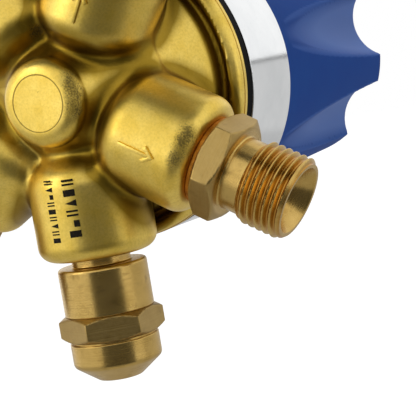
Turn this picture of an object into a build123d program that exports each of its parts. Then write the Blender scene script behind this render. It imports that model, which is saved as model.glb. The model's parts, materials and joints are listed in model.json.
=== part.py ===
from build123d import *
import math
import os

# Argon flowmeter regulator: a forged brass body with a hub at the back and five radial bosses,
# a plated bonnet with a scalloped knob at the front, an inlet nut, an outlet nipple,
# a relief valve and two gauges.
# Millimetres. +Z is up and the knob faces -Y. The origin is the mouth of the inlet nut.
# Two kinds of station are used. "s" runs forward along the main axis from the plane of the bosses.
# "d" runs outward along a boss from the main axis.

# Fits and clearances
THREAD_FIT = 0.05
RUNNING_FIT = 0.06
FREE_GAP = 0.3

# Angles of the bosses, turned from straight down towards -X
RELIEF_ANGLE = 0
OUTLET_ANGLE = 60
FLOW_GAUGE_ANGLE = 150
CONTENTS_GAUGE_ANGLE = 210
INLET_ANGLE = 300
BOSS_ANGLES = [RELIEF_ANGLE, OUTLET_ANGLE, FLOW_GAUGE_ANGLE, CONTENTS_GAUGE_ANGLE, INLET_ANGLE]

# Forged body
BOSS_R = 11.5
BOSS_START = 9.8
BOSS_FACE_R = 6.4
BOSS_SHOULDER = 14.2
BOSS_END = 30.5
BOSS_ROUND = 3.0
HUB_R = 8.6
HUB_TOP = -12.55
HUB_ROUND = 3.2
TROUGH_W = 2.8
TROUGH_S = -5.4
SHOULDER_W = 6.9
SHOULDER_S = -3.4
FLANK_W = 9.5
FLANK_S = 3.6
GROOVE_W = 4.4
GROOVE_S = 12.0
BEAD_W = 2.1
BEAD_S = 11.6
RIM_R = 30.0
RIM_S = 14.4
RIM_LAND = 0.4

# Stations of the main axis in front of the rim
SEAM_W = 3.0
SEAM_INSET = 0.6
SEAM_EDGE = 0.5
RIM_LEDGE = 4.0
SPIGOT_LEN = 7.6
RING_INSET = 0.04
RING_W = 18.9
RING_BEVEL = 0.7
CHAMBER_WALL = 5.0
CHAMBER_FLOOR = 15.0

# Bores in the body
PORT_R = 6.5
PORT_DEPTH = 10.0
PASSAGE_R = 1.8
FEED_D = 17.2
VALVE_THREAD_R = 8.0
VALVE_BORE_R = 6.0
VALVE_SHOULDER_S = 7.0
VALVE_BORE_END = -6.0

# Main valve
NOZZLE_R = 1.5
PIN_R = 0.9
SEAT_S = 5.4
POPPET_R = 5.2
POPPET_LEN = 5.4
SEAT_DISC_R = 3.2
SEAT_DISC_T = 1.6
VALVE_HEAD_T = 3.0
VALVE_HEAD_AF = 15.0
VALVE_HEAD_LIP = 1.6
VALVE_WIRE_R = 0.45

# Diaphragm and its plates
DIAPHRAGM_T = 1.2
SLIP_RING_T = 1.2
PLATE_MARGIN = 6.0
PLATE_T = 1.8
PLATE_BOSS_T = 3.0
RIVET_R = 2.4
PAD_R = 7.0
PAD_T = 1.4

# Range spring, nut and adjusting screw
SPRING_MEAN_R = 9.5
SPRING_WIRE_R = 1.5
SPRING_GUIDE_R = 7.6
NUT_S = 58.0
NUT_LEN = 8.0
NUT_GUIDE_T = 3.0
NUT_TRAVEL = 7.5
SCREW_R = 5.0
SCREW_END = 47.0
COLLAR_R = 9.0
COLLAR_T = 3.0
WASHER_T = 1.0
KEY_W = 4.0
KEY_R = 14.0

# Bonnet neck and knob
NECK_R = 17.0
NECK_BORE_R = 12.5
NECK_WALL_T = 5.0
NECK_END = 81.0
CLIP_T = 1.0
KNOB_REAR_GAP = 1.0
KNOB_END = 104.0
KNOB_REAR_R = 27.6
KNOB_FRONT_R = 25.0
KNOB_EDGE = 1.2
LOBES = 7
LOBE_ANGLE = -7.4
SCALLOP_R = 9.5
SCALLOP_DEPTH = 5.2
SCALLOP_START = 50.0
KNOB_CAVITY_R = 19.5
KNOB_WEB_S = 86.0
SQUARE_W = 8.0
KNOB_HUB_LEN = 9.0
CAP_R = 14.0
CAP_T = 3.0
KNOB_SCREW_R = 2.0
KNOB_SCREW_HEAD_R = 3.8

# Outlet nipple
WASHER_W = 1.0
OUTLET_WASHER_R = 8.4
OUTLET_HEX_AF = 18.0
OUTLET_HEX_END = 36.6
OUTLET_HEX_TURN = 4.0
OUTLET_NECK_R = 7.0
OUTLET_THREAD_START = 40.8
OUTLET_THREAD_R = 8.0
OUTLET_END = 49.6
OUTLET_BORE_R = 2.75
OUTLET_MOUTH_R = 6.4
CONE_HALF_ANGLE = 30
THREAD_CHAMFER = 0.9
JET_R = 3.4
JET_T = 3.0
JET_HOLE_R = 0.4

# Relief valve
RELIEF_NECK_R = 5.7
RELIEF_R = 8.65
RELIEF_BARREL_START = 32.2
RELIEF_HEX_START = 41.4
RELIEF_HEX_END = 46.3
RELIEF_HEX_AF = 17.6
RELIEF_HEX_TURN = 26.0
RELIEF_CAP_R = 8.6
RELIEF_CAP_EDGE = 51.2
RELIEF_CAP_END = 54.4
RELIEF_TIP_R = 4.3
RELIEF_SPIGOT_R = 7.0
RELIEF_SPIGOT_T = 3.5
RELIEF_BORE_R = 5.6
RELIEF_SEAT = 35.0
RELIEF_NOZZLE_R = 1.5
RELIEF_WIRE_R = 0.5

# Inlet
INLET_HEX_AF = 19.0
INLET_HEX_END = 37.5
INLET_SHANK_R = 7.0
INLET_FLANGE_R = 9.4
INLET_FLANGE_T = 3.0
INLET_FACE = 59.0
INLET_BORE_R = 2.5
FILTER_R = 4.0
FILTER_LEN = 12.0
SEAL_T = 1.5
NUT_THREAD_R = 10.0
NUT_UNDERCUT_R = 10.5
NUT_BACK_T = 7.6
NUT_BACK_GAP = 0.4
NUT_REACH = 11.0
NUT_COLLAR = 4.0
NUT_NOSE = 3.0
NUT_AF = 30.0
NUT_THREAD_LEN = 9.0

# Gauges
GAUGE_STEM = 6.2
GAUGE_CASE_R = 30.3
GAUGE_WALL = 0.9
GAUGE_BACK = -10.0
GAUGE_RIM = 15.0
BEZEL_WALL = 1.2
BEZEL_LIP_W = 4.2
BEZEL_START = 9.0
LENS_T = 2.0
BEZEL_LIP_T = 1.2
DIAL_S = 11.0
DIAL_T = 0.8
DIAL_GAP = 0.8
GAUGE_HEX_AF = 14.0
GAUGE_NECK_R = 5.5
BLOCK_W = 14.0
BLOCK_LEN = 11.5
BLOCK_GAP = 2.5
TUBE_GAP = 6.7
TUBE_T = 2.4
TUBE_W = 7.0
TUBE_WALL = 0.4
TUBE_START = 288
TUBE_ARC = 250
PINION_TEETH = 8
SECTOR_TEETH_FULL = 56
SECTOR_TEETH = 10
TOOTH_MODULE = 0.4
SHAFT_R = 0.8
PLATE_GAP = 6.0
MOVEMENT_W = 13.0
MOVEMENT_TOP = 4.0
PILLAR_R = 1.0
TAIL_LEN = 5.4
LINK_W = 1.6
LINK_T = 0.6
LINK_PIN_R = 0.9
POINTER_MARGIN = 6.6

# Radii and stations worked out from the sizes above
trough_r = HUB_R + TROUGH_W
shoulder_r = HUB_R + SHOULDER_W
flank_r = RIM_R - FLANK_W
groove_r = RIM_R - GROOVE_W
bead_r = RIM_R - BEAD_W
seam_r = RIM_R - SEAM_INSET
ring_r = RIM_R - RING_INSET
spigot_r = RIM_R - RIM_LEDGE
chamber_r = spigot_r - CHAMBER_WALL
plate_r = chamber_r - PLATE_MARGIN
ring_start = RIM_S + SEAM_W
ring_end = ring_start + RING_W
spigot_end = RIM_S + SPIGOT_LEN
slip_start = spigot_end + DIAPHRAGM_T
clamp_s = slip_start + SLIP_RING_T
plate_front = slip_start + PLATE_T
wall_start = NECK_END - NECK_WALL_T
collar_front = wall_start - WASHER_T
hex_start = BOSS_END + WASHER_W
port_bottom = BOSS_END - PORT_DEPTH
stem_r = PORT_R - THREAD_FIT
pinion_r = TOOTH_MODULE * PINION_TEETH / 2
sector_r = TOOTH_MODULE * SECTOR_TEETH_FULL / 2
sector_pivot = pinion_r + sector_r
flange_start = INLET_FACE - INLET_FLANGE_T
nut_back_end = flange_start - NUT_BACK_GAP
nut_back_start = nut_back_end - NUT_BACK_T
nut_mouth = INLET_FACE + NUT_REACH
gauge_d = hex_start + GAUGE_STEM + GAUGE_CASE_R
case_inner_r = GAUGE_CASE_R - GAUGE_WALL
bezel_r = GAUGE_CASE_R + BEZEL_WALL
dial_r = case_inner_r - DIAL_GAP
tube_mean_r = case_inner_r - TUBE_GAP - TUBE_T / 2


def direction(angle):
    """Unit vector out of the boss at this angle."""
    turn = math.radians(angle)
    return Vector(-math.sin(turn), 0, -math.cos(turn))


origin = direction(INLET_ANGLE) * nut_mouth


def forward(shape):
    """Lay a shape built along +Z on the main axis, pointing at the knob."""
    return Rot(90, 0, 0) * shape


def at_boss(angle, shape):
    """Lay a shape built along +Z on the axis of a boss, pointing outward."""
    return Rot(0, angle + 180, 0) * shape


def turned(*points):
    """Solid of revolution about Z from (radius, station) points."""
    outline = Plane.XZ * Polyline(*points, close=True)
    return revolve(make_face(outline), Axis.Z, 360)


def tube(outer_r, inner_r, start, end):
    """Ring between two radii and two stations."""
    return turned((inner_r, start), (outer_r, start), (outer_r, end), (inner_r, end))


def rod(radius, start, end):
    """Plain cylinder between two stations."""
    return Pos(0, 0, start) * Cylinder(radius, end - start, align=(Align.CENTER, Align.CENTER, Align.MIN))


def hexagon(across_flats, start, end, turn, bore_r, chamfer_start=True, chamfer_end=True):
    """Hexagon with its corners turned off at the ends that are asked for."""
    blank = extrude(RegularPolygon(across_flats / 2, 6, major_radius=False), end - start)
    blank = Pos(0, 0, start) * (Rot(0, 0, turn) * blank)
    corner_r = across_flats / math.sqrt(3) + 0.2
    face_r = across_flats * 0.485
    drop = (corner_r - face_r) * math.tan(math.radians(30))
    profile = [(0, start)]
    profile += [(face_r, start), (corner_r, start + drop)] if chamfer_start else [(corner_r, start)]
    profile += [(corner_r, end - drop), (face_r, end)] if chamfer_end else [(corner_r, end)]
    profile += [(0, end)]
    blank = blank & turned(*profile)
    return blank - rod(bore_r, start - 1, end + 1) if bore_r else blank


def coil_spring(mean_r, wire_r, start, end, turns):
    """Round coil spring of six-sided wire between two stations."""
    height = end - start - 2 * wire_r
    path = Helix(pitch=height / turns, height=height, radius=mean_r)
    section = Plane(origin=path @ 0, z_dir=path % 0, x_dir=(1, 0, 0)) * RegularPolygon(wire_r, 6)
    return Pos(0, 0, start + wire_r) * sweep(section, path=path, is_frenet=True)


def save(node, shape):
    """Write one piece in the part's own frame."""
    export_step(Pos(*(-origin)) * shape, f"parts/{node}.step")


def dome():
    """Back of the forging: hub, trough, dished flank and beaded rim, with the spigot in front."""
    hub_top = (HUB_R - HUB_ROUND, HUB_TOP)
    hub_side = (HUB_R, HUB_TOP + HUB_ROUND)
    groove = (groove_r, GROOVE_S)
    rim_edge = (RIM_R, RIM_S - RIM_LAND)
    with BuildPart() as solid:
        with BuildSketch(Plane.XZ):
            with BuildLine():
                Line((0, spigot_end), (0, HUB_TOP))
                Line((0, HUB_TOP), hub_top)
                RadiusArc(hub_top, hub_side, -HUB_ROUND)
                Spline(
                    hub_side, (trough_r, TROUGH_S), (shoulder_r, SHOULDER_S), (flank_r, FLANK_S), groove,
                    tangents=[(0, 1), (0.35, 1)],
                )
                Spline(groove, (bead_r, BEAD_S), rim_edge, tangents=[(0.6, 0.2), (0.05, 1)])
                Line(rim_edge, (RIM_R, RIM_S))
                Line((RIM_R, RIM_S), (spigot_r, RIM_S))
                Line((spigot_r, RIM_S), (spigot_r, spigot_end))
                Line((spigot_r, spigot_end), (0, spigot_end))
            make_face()
        revolve(axis=Axis.Z, revolution_arc=360)
    return forward(solid.part)


def boss():
    """One radial boss along +Z, with a sloping inner end."""
    inner_side = (BOSS_R, BOSS_SHOULDER)
    outer_side = (BOSS_R, BOSS_END - BOSS_ROUND)
    outer_edge = (BOSS_R - BOSS_ROUND, BOSS_END)
    with BuildPart() as solid:
        with BuildSketch(Plane.XZ):
            with BuildLine():
                Line((0, BOSS_START), (BOSS_FACE_R, BOSS_START))
                Spline((BOSS_FACE_R, BOSS_START), inner_side, tangents=[(1, 0.5), (0.1, 1)])
                Line(inner_side, outer_side)
                RadiusArc(outer_side, outer_edge, -BOSS_ROUND)
                Line(outer_edge, (0, BOSS_END))
                Line((0, BOSS_END), (0, BOSS_START))
            make_face()
        revolve(axis=Axis.Z, revolution_arc=360)
    return solid.part


def body_forging():
    """Dome with the five bosses on it."""
    forging = dome()
    one_boss = boss()
    for angle in BOSS_ANGLES:
        forging = forging + at_boss(angle, one_boss)
    return forging


def make_body():
    """Machined forging: ports, valve bore, feed passages and pressure chamber."""
    body = body_forging()
    chamber = rod(chamber_r, CHAMBER_FLOOR, spigot_end + 1)
    valve_bore = rod(VALVE_BORE_R, VALVE_BORE_END, VALVE_SHOULDER_S)
    valve_thread = rod(VALVE_THREAD_R, VALVE_SHOULDER_S, CHAMBER_FLOOR + 1)
    body = body - forward(chamber) - forward(valve_bore) - forward(valve_thread)
    for angle in BOSS_ANGLES:
        port_r = RELIEF_NECK_R + THREAD_FIT if angle == RELIEF_ANGLE else PORT_R
        body = body - at_boss(angle, rod(port_r, port_bottom, BOSS_END + 1))
    for angle in (CONTENTS_GAUGE_ANGLE, INLET_ANGLE):
        body = body - at_boss(angle, rod(PASSAGE_R, VALVE_BORE_R - 1, port_bottom + 1))
    for angle in (RELIEF_ANGLE, OUTLET_ANGLE, FLOW_GAUGE_ANGLE):
        body = body - at_boss(angle, rod(PASSAGE_R, FEED_D, port_bottom + 1))
        feed = Pos(*(direction(angle) * FEED_D)) * forward(rod(PASSAGE_R, 0, CHAMBER_FLOOR + 1))
        body = body - feed
    return body


def make_valve():
    """Nozzle housing, poppet, seat disc, spring and push pin of the main valve."""
    bore_r = VALVE_BORE_R - FREE_GAP
    housing = turned(
        (NOZZLE_R, SEAT_S), (NOZZLE_R + 0.6, SEAT_S), (NOZZLE_R + 2.2, VALVE_SHOULDER_S),
        (VALVE_THREAD_R - THREAD_FIT, VALVE_SHOULDER_S), (VALVE_THREAD_R - THREAD_FIT, CHAMBER_FLOOR),
        (VALVE_THREAD_R + VALVE_HEAD_LIP, CHAMBER_FLOOR),
        (VALVE_THREAD_R + VALVE_HEAD_LIP, CHAMBER_FLOOR + 0.6),
        (NOZZLE_R, CHAMBER_FLOOR + 0.6),
    )
    head_end = CHAMBER_FLOOR + VALVE_HEAD_T
    head = hexagon(VALVE_HEAD_AF, CHAMBER_FLOOR + 0.5, head_end, 0, NOZZLE_R, chamfer_start=False)
    housing = housing + head
    poppet_back = SEAT_S - POPPET_LEN
    disc_back = SEAT_S - SEAT_DISC_T
    poppet = turned(
        (PIN_R, poppet_back - 2.6), (2.4, poppet_back - 2.6), (2.4, poppet_back),
        (POPPET_R, poppet_back), (POPPET_R, disc_back + 0.8), (SEAT_DISC_R, disc_back + 0.8),
        (SEAT_DISC_R, disc_back), (PIN_R, disc_back),
    )
    disc = tube(SEAT_DISC_R, PIN_R, disc_back, SEAT_S)
    rivet_end = spigot_end - PAD_T - 0.6
    pin = rod(PIN_R, poppet_back - 2.6, rivet_end)
    spring = coil_spring(bore_r - 1.2, VALVE_WIRE_R, VALVE_BORE_END, poppet_back, 4)
    save("valve_housing", forward(housing))
    save("valve_poppet", forward(poppet))
    save("valve_seat_disc", forward(disc))
    save("push_pin", forward(pin))
    save("valve_spring", forward(spring))


def make_diaphragm():
    """Diaphragm with its convolution, pad, plate and slip ring."""
    clamp_in = chamber_r - 0.4
    fold_out = clamp_in - 1.0
    fold_mid = (fold_out + plate_r) / 2
    edge_r = spigot_r - THREAD_FIT
    t = DIAPHRAGM_T
    s0 = spigot_end
    diaphragm = turned(
        (RIVET_R, s0), (plate_r, s0), (fold_mid, s0 - 1.6), (fold_out, s0), (edge_r, s0),
        (edge_r, s0 + t), (fold_out, s0 + t), (fold_mid, s0 + t - 1.6), (plate_r, s0 + t),
        (RIVET_R, s0 + t),
    )
    slip_ring = tube(edge_r, clamp_in, slip_start, clamp_s)
    pad = tube(PAD_R, RIVET_R, s0 - PAD_T, s0)
    rivet_end = s0 - PAD_T - 0.6
    plate = turned(
        (0, rivet_end), (RIVET_R, rivet_end), (RIVET_R, slip_start), (plate_r, slip_start),
        (plate_r, plate_front), (SPRING_GUIDE_R, plate_front),
        (SPRING_GUIDE_R - 0.5, plate_front + PLATE_BOSS_T),
        (0, plate_front + PLATE_BOSS_T),
    )
    save("diaphragm", forward(diaphragm))
    save("slip_ring", forward(slip_ring))
    save("diaphragm_pad", forward(pad))
    save("diaphragm_plate", forward(plate))


def make_bonnet():
    """Plated cover: the ring that shows, the spring chamber and the neck inside the knob."""
    b = RING_BEVEL
    skirt_r = spigot_r + THREAD_FIT
    bonnet = turned(
        (skirt_r, ring_start), (ring_r - b, ring_start), (ring_r, ring_start + b),
        (ring_r, ring_end - b), (ring_r - b, ring_end), (NECK_R, ring_end),
        (NECK_R, NECK_END - 1), (NECK_R - 1, NECK_END), (SCREW_R + RUNNING_FIT, NECK_END),
        (SCREW_R + RUNNING_FIT, wall_start), (NECK_BORE_R, wall_start), (NECK_BORE_R, ring_end),
        (chamber_r - 1, clamp_s + 5), (chamber_r - 1, clamp_s), (skirt_r, clamp_s),
    )
    key_start = NUT_S - NUT_TRAVEL - 1
    groove = Pos(0, 0, key_start) * Box(
        2 * KEY_R + 2 * FREE_GAP, KEY_W + 2 * FREE_GAP, wall_start - key_start,
        align=(Align.CENTER, Align.CENTER, Align.MIN),
    )
    save("bonnet", forward(bonnet - groove))
    seam = turned(
        (skirt_r, RIM_S), (seam_r - SEAM_EDGE, RIM_S), (seam_r, RIM_S + SEAM_EDGE),
        (seam_r, ring_start - SEAM_EDGE), (seam_r - SEAM_EDGE, ring_start), (skirt_r, ring_start),
    )
    save("seam_ring", forward(seam))


def make_adjuster():
    """Range spring, keyed nut, adjusting screw, thrust washer and retaining ring."""
    spring = coil_spring(SPRING_MEAN_R, SPRING_WIRE_R, plate_front, NUT_S, 6)
    nut_r = NECK_BORE_R - FREE_GAP
    nut = turned(
        (SCREW_R + THREAD_FIT, NUT_S - NUT_GUIDE_T), (SPRING_GUIDE_R - 0.5, NUT_S - NUT_GUIDE_T),
        (SPRING_GUIDE_R, NUT_S), (nut_r, NUT_S), (nut_r, NUT_S + NUT_LEN),
        (SCREW_R + THREAD_FIT, NUT_S + NUT_LEN),
    )
    keys = Pos(0, 0, NUT_S) * Box(
        2 * KEY_R, KEY_W, NUT_LEN, align=(Align.CENTER, Align.CENTER, Align.MIN)
    )
    nut = nut + (keys - rod(SPRING_GUIDE_R, NUT_S - 1, NUT_S + NUT_LEN + 1))
    clip_s = NECK_END + FREE_GAP
    square_start = clip_s + CLIP_T + 1
    square_end = KNOB_WEB_S + KNOB_HUB_LEN
    screw = turned(
        (0, SCREW_END), (SCREW_R - 1, SCREW_END), (SCREW_R, SCREW_END + 1),
        (SCREW_R, collar_front - COLLAR_T),
        (COLLAR_R, collar_front - COLLAR_T), (COLLAR_R, collar_front), (SCREW_R, collar_front),
        (SCREW_R, clip_s), (SCREW_R - 0.6, clip_s), (SCREW_R - 0.6, clip_s + CLIP_T),
        (SCREW_R, clip_s + CLIP_T), (SCREW_R, square_start), (0, square_start),
    )
    square = Pos(0, 0, square_start) * Box(
        SQUARE_W, SQUARE_W, square_end - square_start, align=(Align.CENTER, Align.CENTER, Align.MIN)
    )
    square = square & rod(SCREW_R, square_start, square_end)
    screw = screw + square
    screw = screw - rod(KNOB_SCREW_R + THREAD_FIT, square_end - KNOB_HUB_LEN, square_end + 1)
    ring = tube(SCREW_R + 2.2, SCREW_R - 0.6, clip_s, clip_s + CLIP_T)
    ring = ring - Pos(SCREW_R + 1, 0, clip_s) * Box(2 * SCREW_R, 5, 4)
    washer = tube(COLLAR_R, SCREW_R + RUNNING_FIT, collar_front, wall_start)
    save("range_spring", forward(spring))
    save("spring_nut", forward(nut))
    save("adjusting_screw", forward(screw))
    save("retaining_ring", forward(ring))
    save("thrust_washer", forward(washer))
    return square_end


def make_knob(square_end):
    """Scalloped knob with its hub, screw and cap."""
    rear = ring_end + KNOB_REAR_GAP
    e = KNOB_EDGE
    knob = turned(
        (KNOB_CAVITY_R, rear), (KNOB_REAR_R - e, rear), (KNOB_REAR_R, rear + e),
        (KNOB_FRONT_R, KNOB_END - e), (KNOB_FRONT_R - e, KNOB_END), (CAP_R + RUNNING_FIT, KNOB_END),
        (CAP_R + RUNNING_FIT, KNOB_END - CAP_T), (KNOB_SCREW_HEAD_R + 0.4, KNOB_END - CAP_T),
        (KNOB_SCREW_HEAD_R + 0.4, square_end + 0.5), (KNOB_SCREW_R, square_end + 0.5),
        (KNOB_SCREW_R, KNOB_WEB_S), (KNOB_CAVITY_R - 2, KNOB_WEB_S), (KNOB_CAVITY_R, KNOB_WEB_S - 2),
    )
    square = Pos(0, 0, KNOB_WEB_S - 1) * Box(
        SQUARE_W + 0.2, SQUARE_W + 0.2, square_end + 0.5 - KNOB_WEB_S + 1,
        align=(Align.CENTER, Align.CENTER, Align.MIN),
    )
    knob = knob - square
    rise = SCALLOP_DEPTH + (KNOB_REAR_R - KNOB_FRONT_R)
    tilt = math.degrees(math.atan2(rise, KNOB_END - SCALLOP_START))
    centre = KNOB_FRONT_R - SCALLOP_DEPTH + SCALLOP_R
    cutter = Pos(centre, 0, KNOB_END) * (Rot(0, -tilt, 0) * Cylinder(SCALLOP_R, 2 * KNOB_END))
    for lobe in range(LOBES):
        knob = knob - Rot(0, 0, (lobe + 0.5) * 360 / LOBES + LOBE_ANGLE) * cutter
    cap = turned(
        (0, KNOB_END - CAP_T), (CAP_R, KNOB_END - CAP_T), (CAP_R, KNOB_END), (CAP_R - 1, KNOB_END + 0.5),
        (0, KNOB_END + 0.9),
    )
    head_s = square_end + 0.5
    screw = turned(
        (0, head_s - 8), (KNOB_SCREW_R - THREAD_FIT, head_s - 8), (KNOB_SCREW_R - THREAD_FIT, head_s),
        (KNOB_SCREW_HEAD_R, head_s), (KNOB_SCREW_HEAD_R, head_s + 2.4), (0, head_s + 2.4),
    )
    slot = Pos(0, 0, head_s + 2.4) * Box(2 * KNOB_SCREW_HEAD_R, 1, 2)
    save("knob", forward(knob))
    save("knob_cap", forward(cap))
    save("knob_screw", forward(screw - slot))


def make_outlet():
    """Outlet nipple with its washer and calibrated jet."""
    mouth_depth = (OUTLET_MOUTH_R - OUTLET_BORE_R) / math.tan(math.radians(CONE_HALF_ANGLE))
    c = THREAD_CHAMFER
    jet_end = port_bottom + 0.5 + JET_T
    nipple = turned(
        (JET_R + THREAD_FIT, port_bottom + 0.5), (stem_r - 0.6, port_bottom + 0.5),
        (stem_r, port_bottom + 1.1),
        (stem_r, hex_start + 1), (OUTLET_NECK_R, OUTLET_HEX_END - 1),
        (OUTLET_NECK_R, OUTLET_THREAD_START),
        (OUTLET_THREAD_R, OUTLET_THREAD_START), (OUTLET_THREAD_R, OUTLET_END - c),
        (OUTLET_THREAD_R - c, OUTLET_END), (OUTLET_MOUTH_R, OUTLET_END),
        (OUTLET_BORE_R, OUTLET_END - mouth_depth),
        (OUTLET_BORE_R, jet_end), (JET_R + THREAD_FIT, jet_end),
    )
    nipple = nipple + hexagon(
        OUTLET_HEX_AF, hex_start, OUTLET_HEX_END, OUTLET_HEX_TURN, OUTLET_NECK_R - 1.5
    )
    washer = tube(OUTLET_WASHER_R, PORT_R, BOSS_END, hex_start)
    jet = tube(JET_R, JET_HOLE_R, port_bottom + 0.5, jet_end)
    save("outlet_nipple", at_boss(OUTLET_ANGLE, nipple))
    save("outlet_washer", at_boss(OUTLET_ANGLE, washer))
    save("flow_orifice", at_boss(OUTLET_ANGLE, jet))


def make_relief():
    """Relief valve: body, poppet with its seal, spring and domed cap."""
    seat_lip = RELIEF_SEAT - 0.6
    body = turned(
        (RELIEF_NOZZLE_R, port_bottom + 0.5), (RELIEF_NECK_R, port_bottom + 0.5),
        (RELIEF_NECK_R, RELIEF_BARREL_START), (RELIEF_R - 0.6, RELIEF_BARREL_START),
        (RELIEF_R, RELIEF_BARREL_START + 0.6), (RELIEF_R, RELIEF_HEX_START),
        (RELIEF_R - 0.5, RELIEF_HEX_START),
        (RELIEF_R - 0.5, RELIEF_HEX_END), (RELIEF_SPIGOT_R + THREAD_FIT, RELIEF_HEX_END),
        (RELIEF_SPIGOT_R + THREAD_FIT, RELIEF_HEX_END - RELIEF_SPIGOT_T),
        (RELIEF_BORE_R, RELIEF_HEX_END - RELIEF_SPIGOT_T), (RELIEF_BORE_R, seat_lip - 0.4),
        (RELIEF_NOZZLE_R + 1.4, seat_lip - 0.4), (RELIEF_NOZZLE_R + 0.6, RELIEF_SEAT),
        (RELIEF_NOZZLE_R, RELIEF_SEAT),
    )
    hexagon_ring = hexagon(
        RELIEF_HEX_AF, RELIEF_HEX_START, RELIEF_HEX_END, RELIEF_HEX_TURN, RELIEF_SPIGOT_R + 0.5
    )
    body = body + hexagon_ring
    neck_r = RELIEF_CAP_R - 0.5
    spring_end = RELIEF_CAP_EDGE - 1.5
    cap = turned(
        (RELIEF_BORE_R, RELIEF_HEX_END - RELIEF_SPIGOT_T),
        (RELIEF_SPIGOT_R, RELIEF_HEX_END - RELIEF_SPIGOT_T),
        (RELIEF_SPIGOT_R, RELIEF_HEX_END), (neck_r, RELIEF_HEX_END), (neck_r, RELIEF_HEX_END + 0.4),
        (RELIEF_CAP_R, RELIEF_HEX_END + 0.4), (RELIEF_CAP_R, RELIEF_CAP_EDGE - 0.4),
        (RELIEF_CAP_R - 0.4, RELIEF_CAP_EDGE), (RELIEF_TIP_R, RELIEF_CAP_END),
        (RELIEF_TIP_R - 0.3, RELIEF_CAP_END + 0.2),
        (1.2, RELIEF_CAP_END + 0.2), (1.2, spring_end), (RELIEF_BORE_R, spring_end),
    )
    poppet_r = RELIEF_BORE_R - FREE_GAP
    seal_t = 1.2
    poppet_back = RELIEF_SEAT + 3.4
    poppet = turned(
        (0, RELIEF_SEAT + seal_t), (3.0, RELIEF_SEAT + seal_t), (3.0, RELIEF_SEAT + 0.5),
        (poppet_r, RELIEF_SEAT + 0.5),
        (poppet_r, poppet_back), (3.0, poppet_back), (2.7, poppet_back + 2.5), (0, poppet_back + 2.5),
    )
    seal = rod(3.0, RELIEF_SEAT, RELIEF_SEAT + seal_t)
    spring = coil_spring(4.2, RELIEF_WIRE_R, poppet_back, spring_end, 5)
    save("relief_body", at_boss(RELIEF_ANGLE, body))
    save("relief_cap", at_boss(RELIEF_ANGLE, cap))
    save("relief_poppet", at_boss(RELIEF_ANGLE, poppet))
    save("relief_seal", at_boss(RELIEF_ANGLE, seal))
    save("relief_spring", at_boss(RELIEF_ANGLE, spring))


def make_inlet():
    """Inlet stem with its washer, filter and seal, and the union nut that turns on it."""
    filter_start = INLET_FACE - FILTER_LEN
    stem = turned(
        (INLET_BORE_R, port_bottom + 0.5), (stem_r - 0.6, port_bottom + 0.5), (stem_r, port_bottom + 1.1),
        (stem_r, hex_start + 1), (INLET_SHANK_R, INLET_HEX_END - 1), (INLET_SHANK_R, flange_start),
        (INLET_FLANGE_R, flange_start), (INLET_FLANGE_R, INLET_FACE), (FILTER_R + THREAD_FIT, INLET_FACE),
        (FILTER_R + THREAD_FIT, filter_start), (INLET_BORE_R, filter_start),
    )
    stem = stem + hexagon(INLET_HEX_AF, hex_start, INLET_HEX_END, 0, INLET_SHANK_R - 1.5)
    washer = tube(OUTLET_WASHER_R, PORT_R, BOSS_END, hex_start)
    screen = tube(FILTER_R, INLET_BORE_R, filter_start, INLET_FACE - 2)
    screen = screen + rod(FILTER_R, INLET_FACE - 2, INLET_FACE)
    seal = tube(INLET_FLANGE_R - 0.4, FILTER_R, INLET_FACE, INLET_FACE + SEAL_T)
    thread_start = nut_mouth - NUT_THREAD_LEN
    nut = turned(
        (INLET_SHANK_R + RUNNING_FIT, nut_back_start), (NUT_AF / 2 - 3, nut_back_start),
        (NUT_AF / 2 - 1, nut_back_start + 3), (NUT_AF / 2 - 1, nut_mouth - 0.6),
        (NUT_AF / 2 - 1.6, nut_mouth),
        (NUT_THREAD_R, nut_mouth), (NUT_THREAD_R, thread_start), (NUT_UNDERCUT_R, thread_start - 0.5),
        (NUT_UNDERCUT_R, nut_back_end), (INLET_SHANK_R + RUNNING_FIT, nut_back_end),
    )
    nut_hex = hexagon(NUT_AF, nut_back_start + NUT_COLLAR, nut_mouth - NUT_NOSE, 0, NUT_AF / 2 - 2)
    save("inlet_stem", at_boss(INLET_ANGLE, stem))
    save("inlet_washer", at_boss(INLET_ANGLE, washer))
    save("inlet_filter", at_boss(INLET_ANGLE, screen))
    save("inlet_seal", at_boss(INLET_ANGLE, seal))
    save("inlet_nut", at_boss(INLET_ANGLE, nut + nut_hex))


def gear_teeth(teeth_full, teeth, phase):
    """Teeth standing on a pitch circle, as one flat sketch centred on +Y."""
    radius = TOOTH_MODULE * teeth_full / 2
    root = radius - TOOTH_MODULE * 1.15
    tip = radius + TOOTH_MODULE * 0.85
    half_root = TOOTH_MODULE * 0.85
    half_tip = TOOTH_MODULE * 0.3
    tooth = make_face(Polyline(
        (-half_root, root - 0.1), (half_root, root - 0.1), (half_tip, tip), (-half_tip, tip), close=True
    ))
    pitch = 360 / teeth_full
    first = phase - (teeth - 1) * pitch / 2
    return [Rot(0, 0, first + i * pitch) * tooth for i in range(teeth)], root


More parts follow.
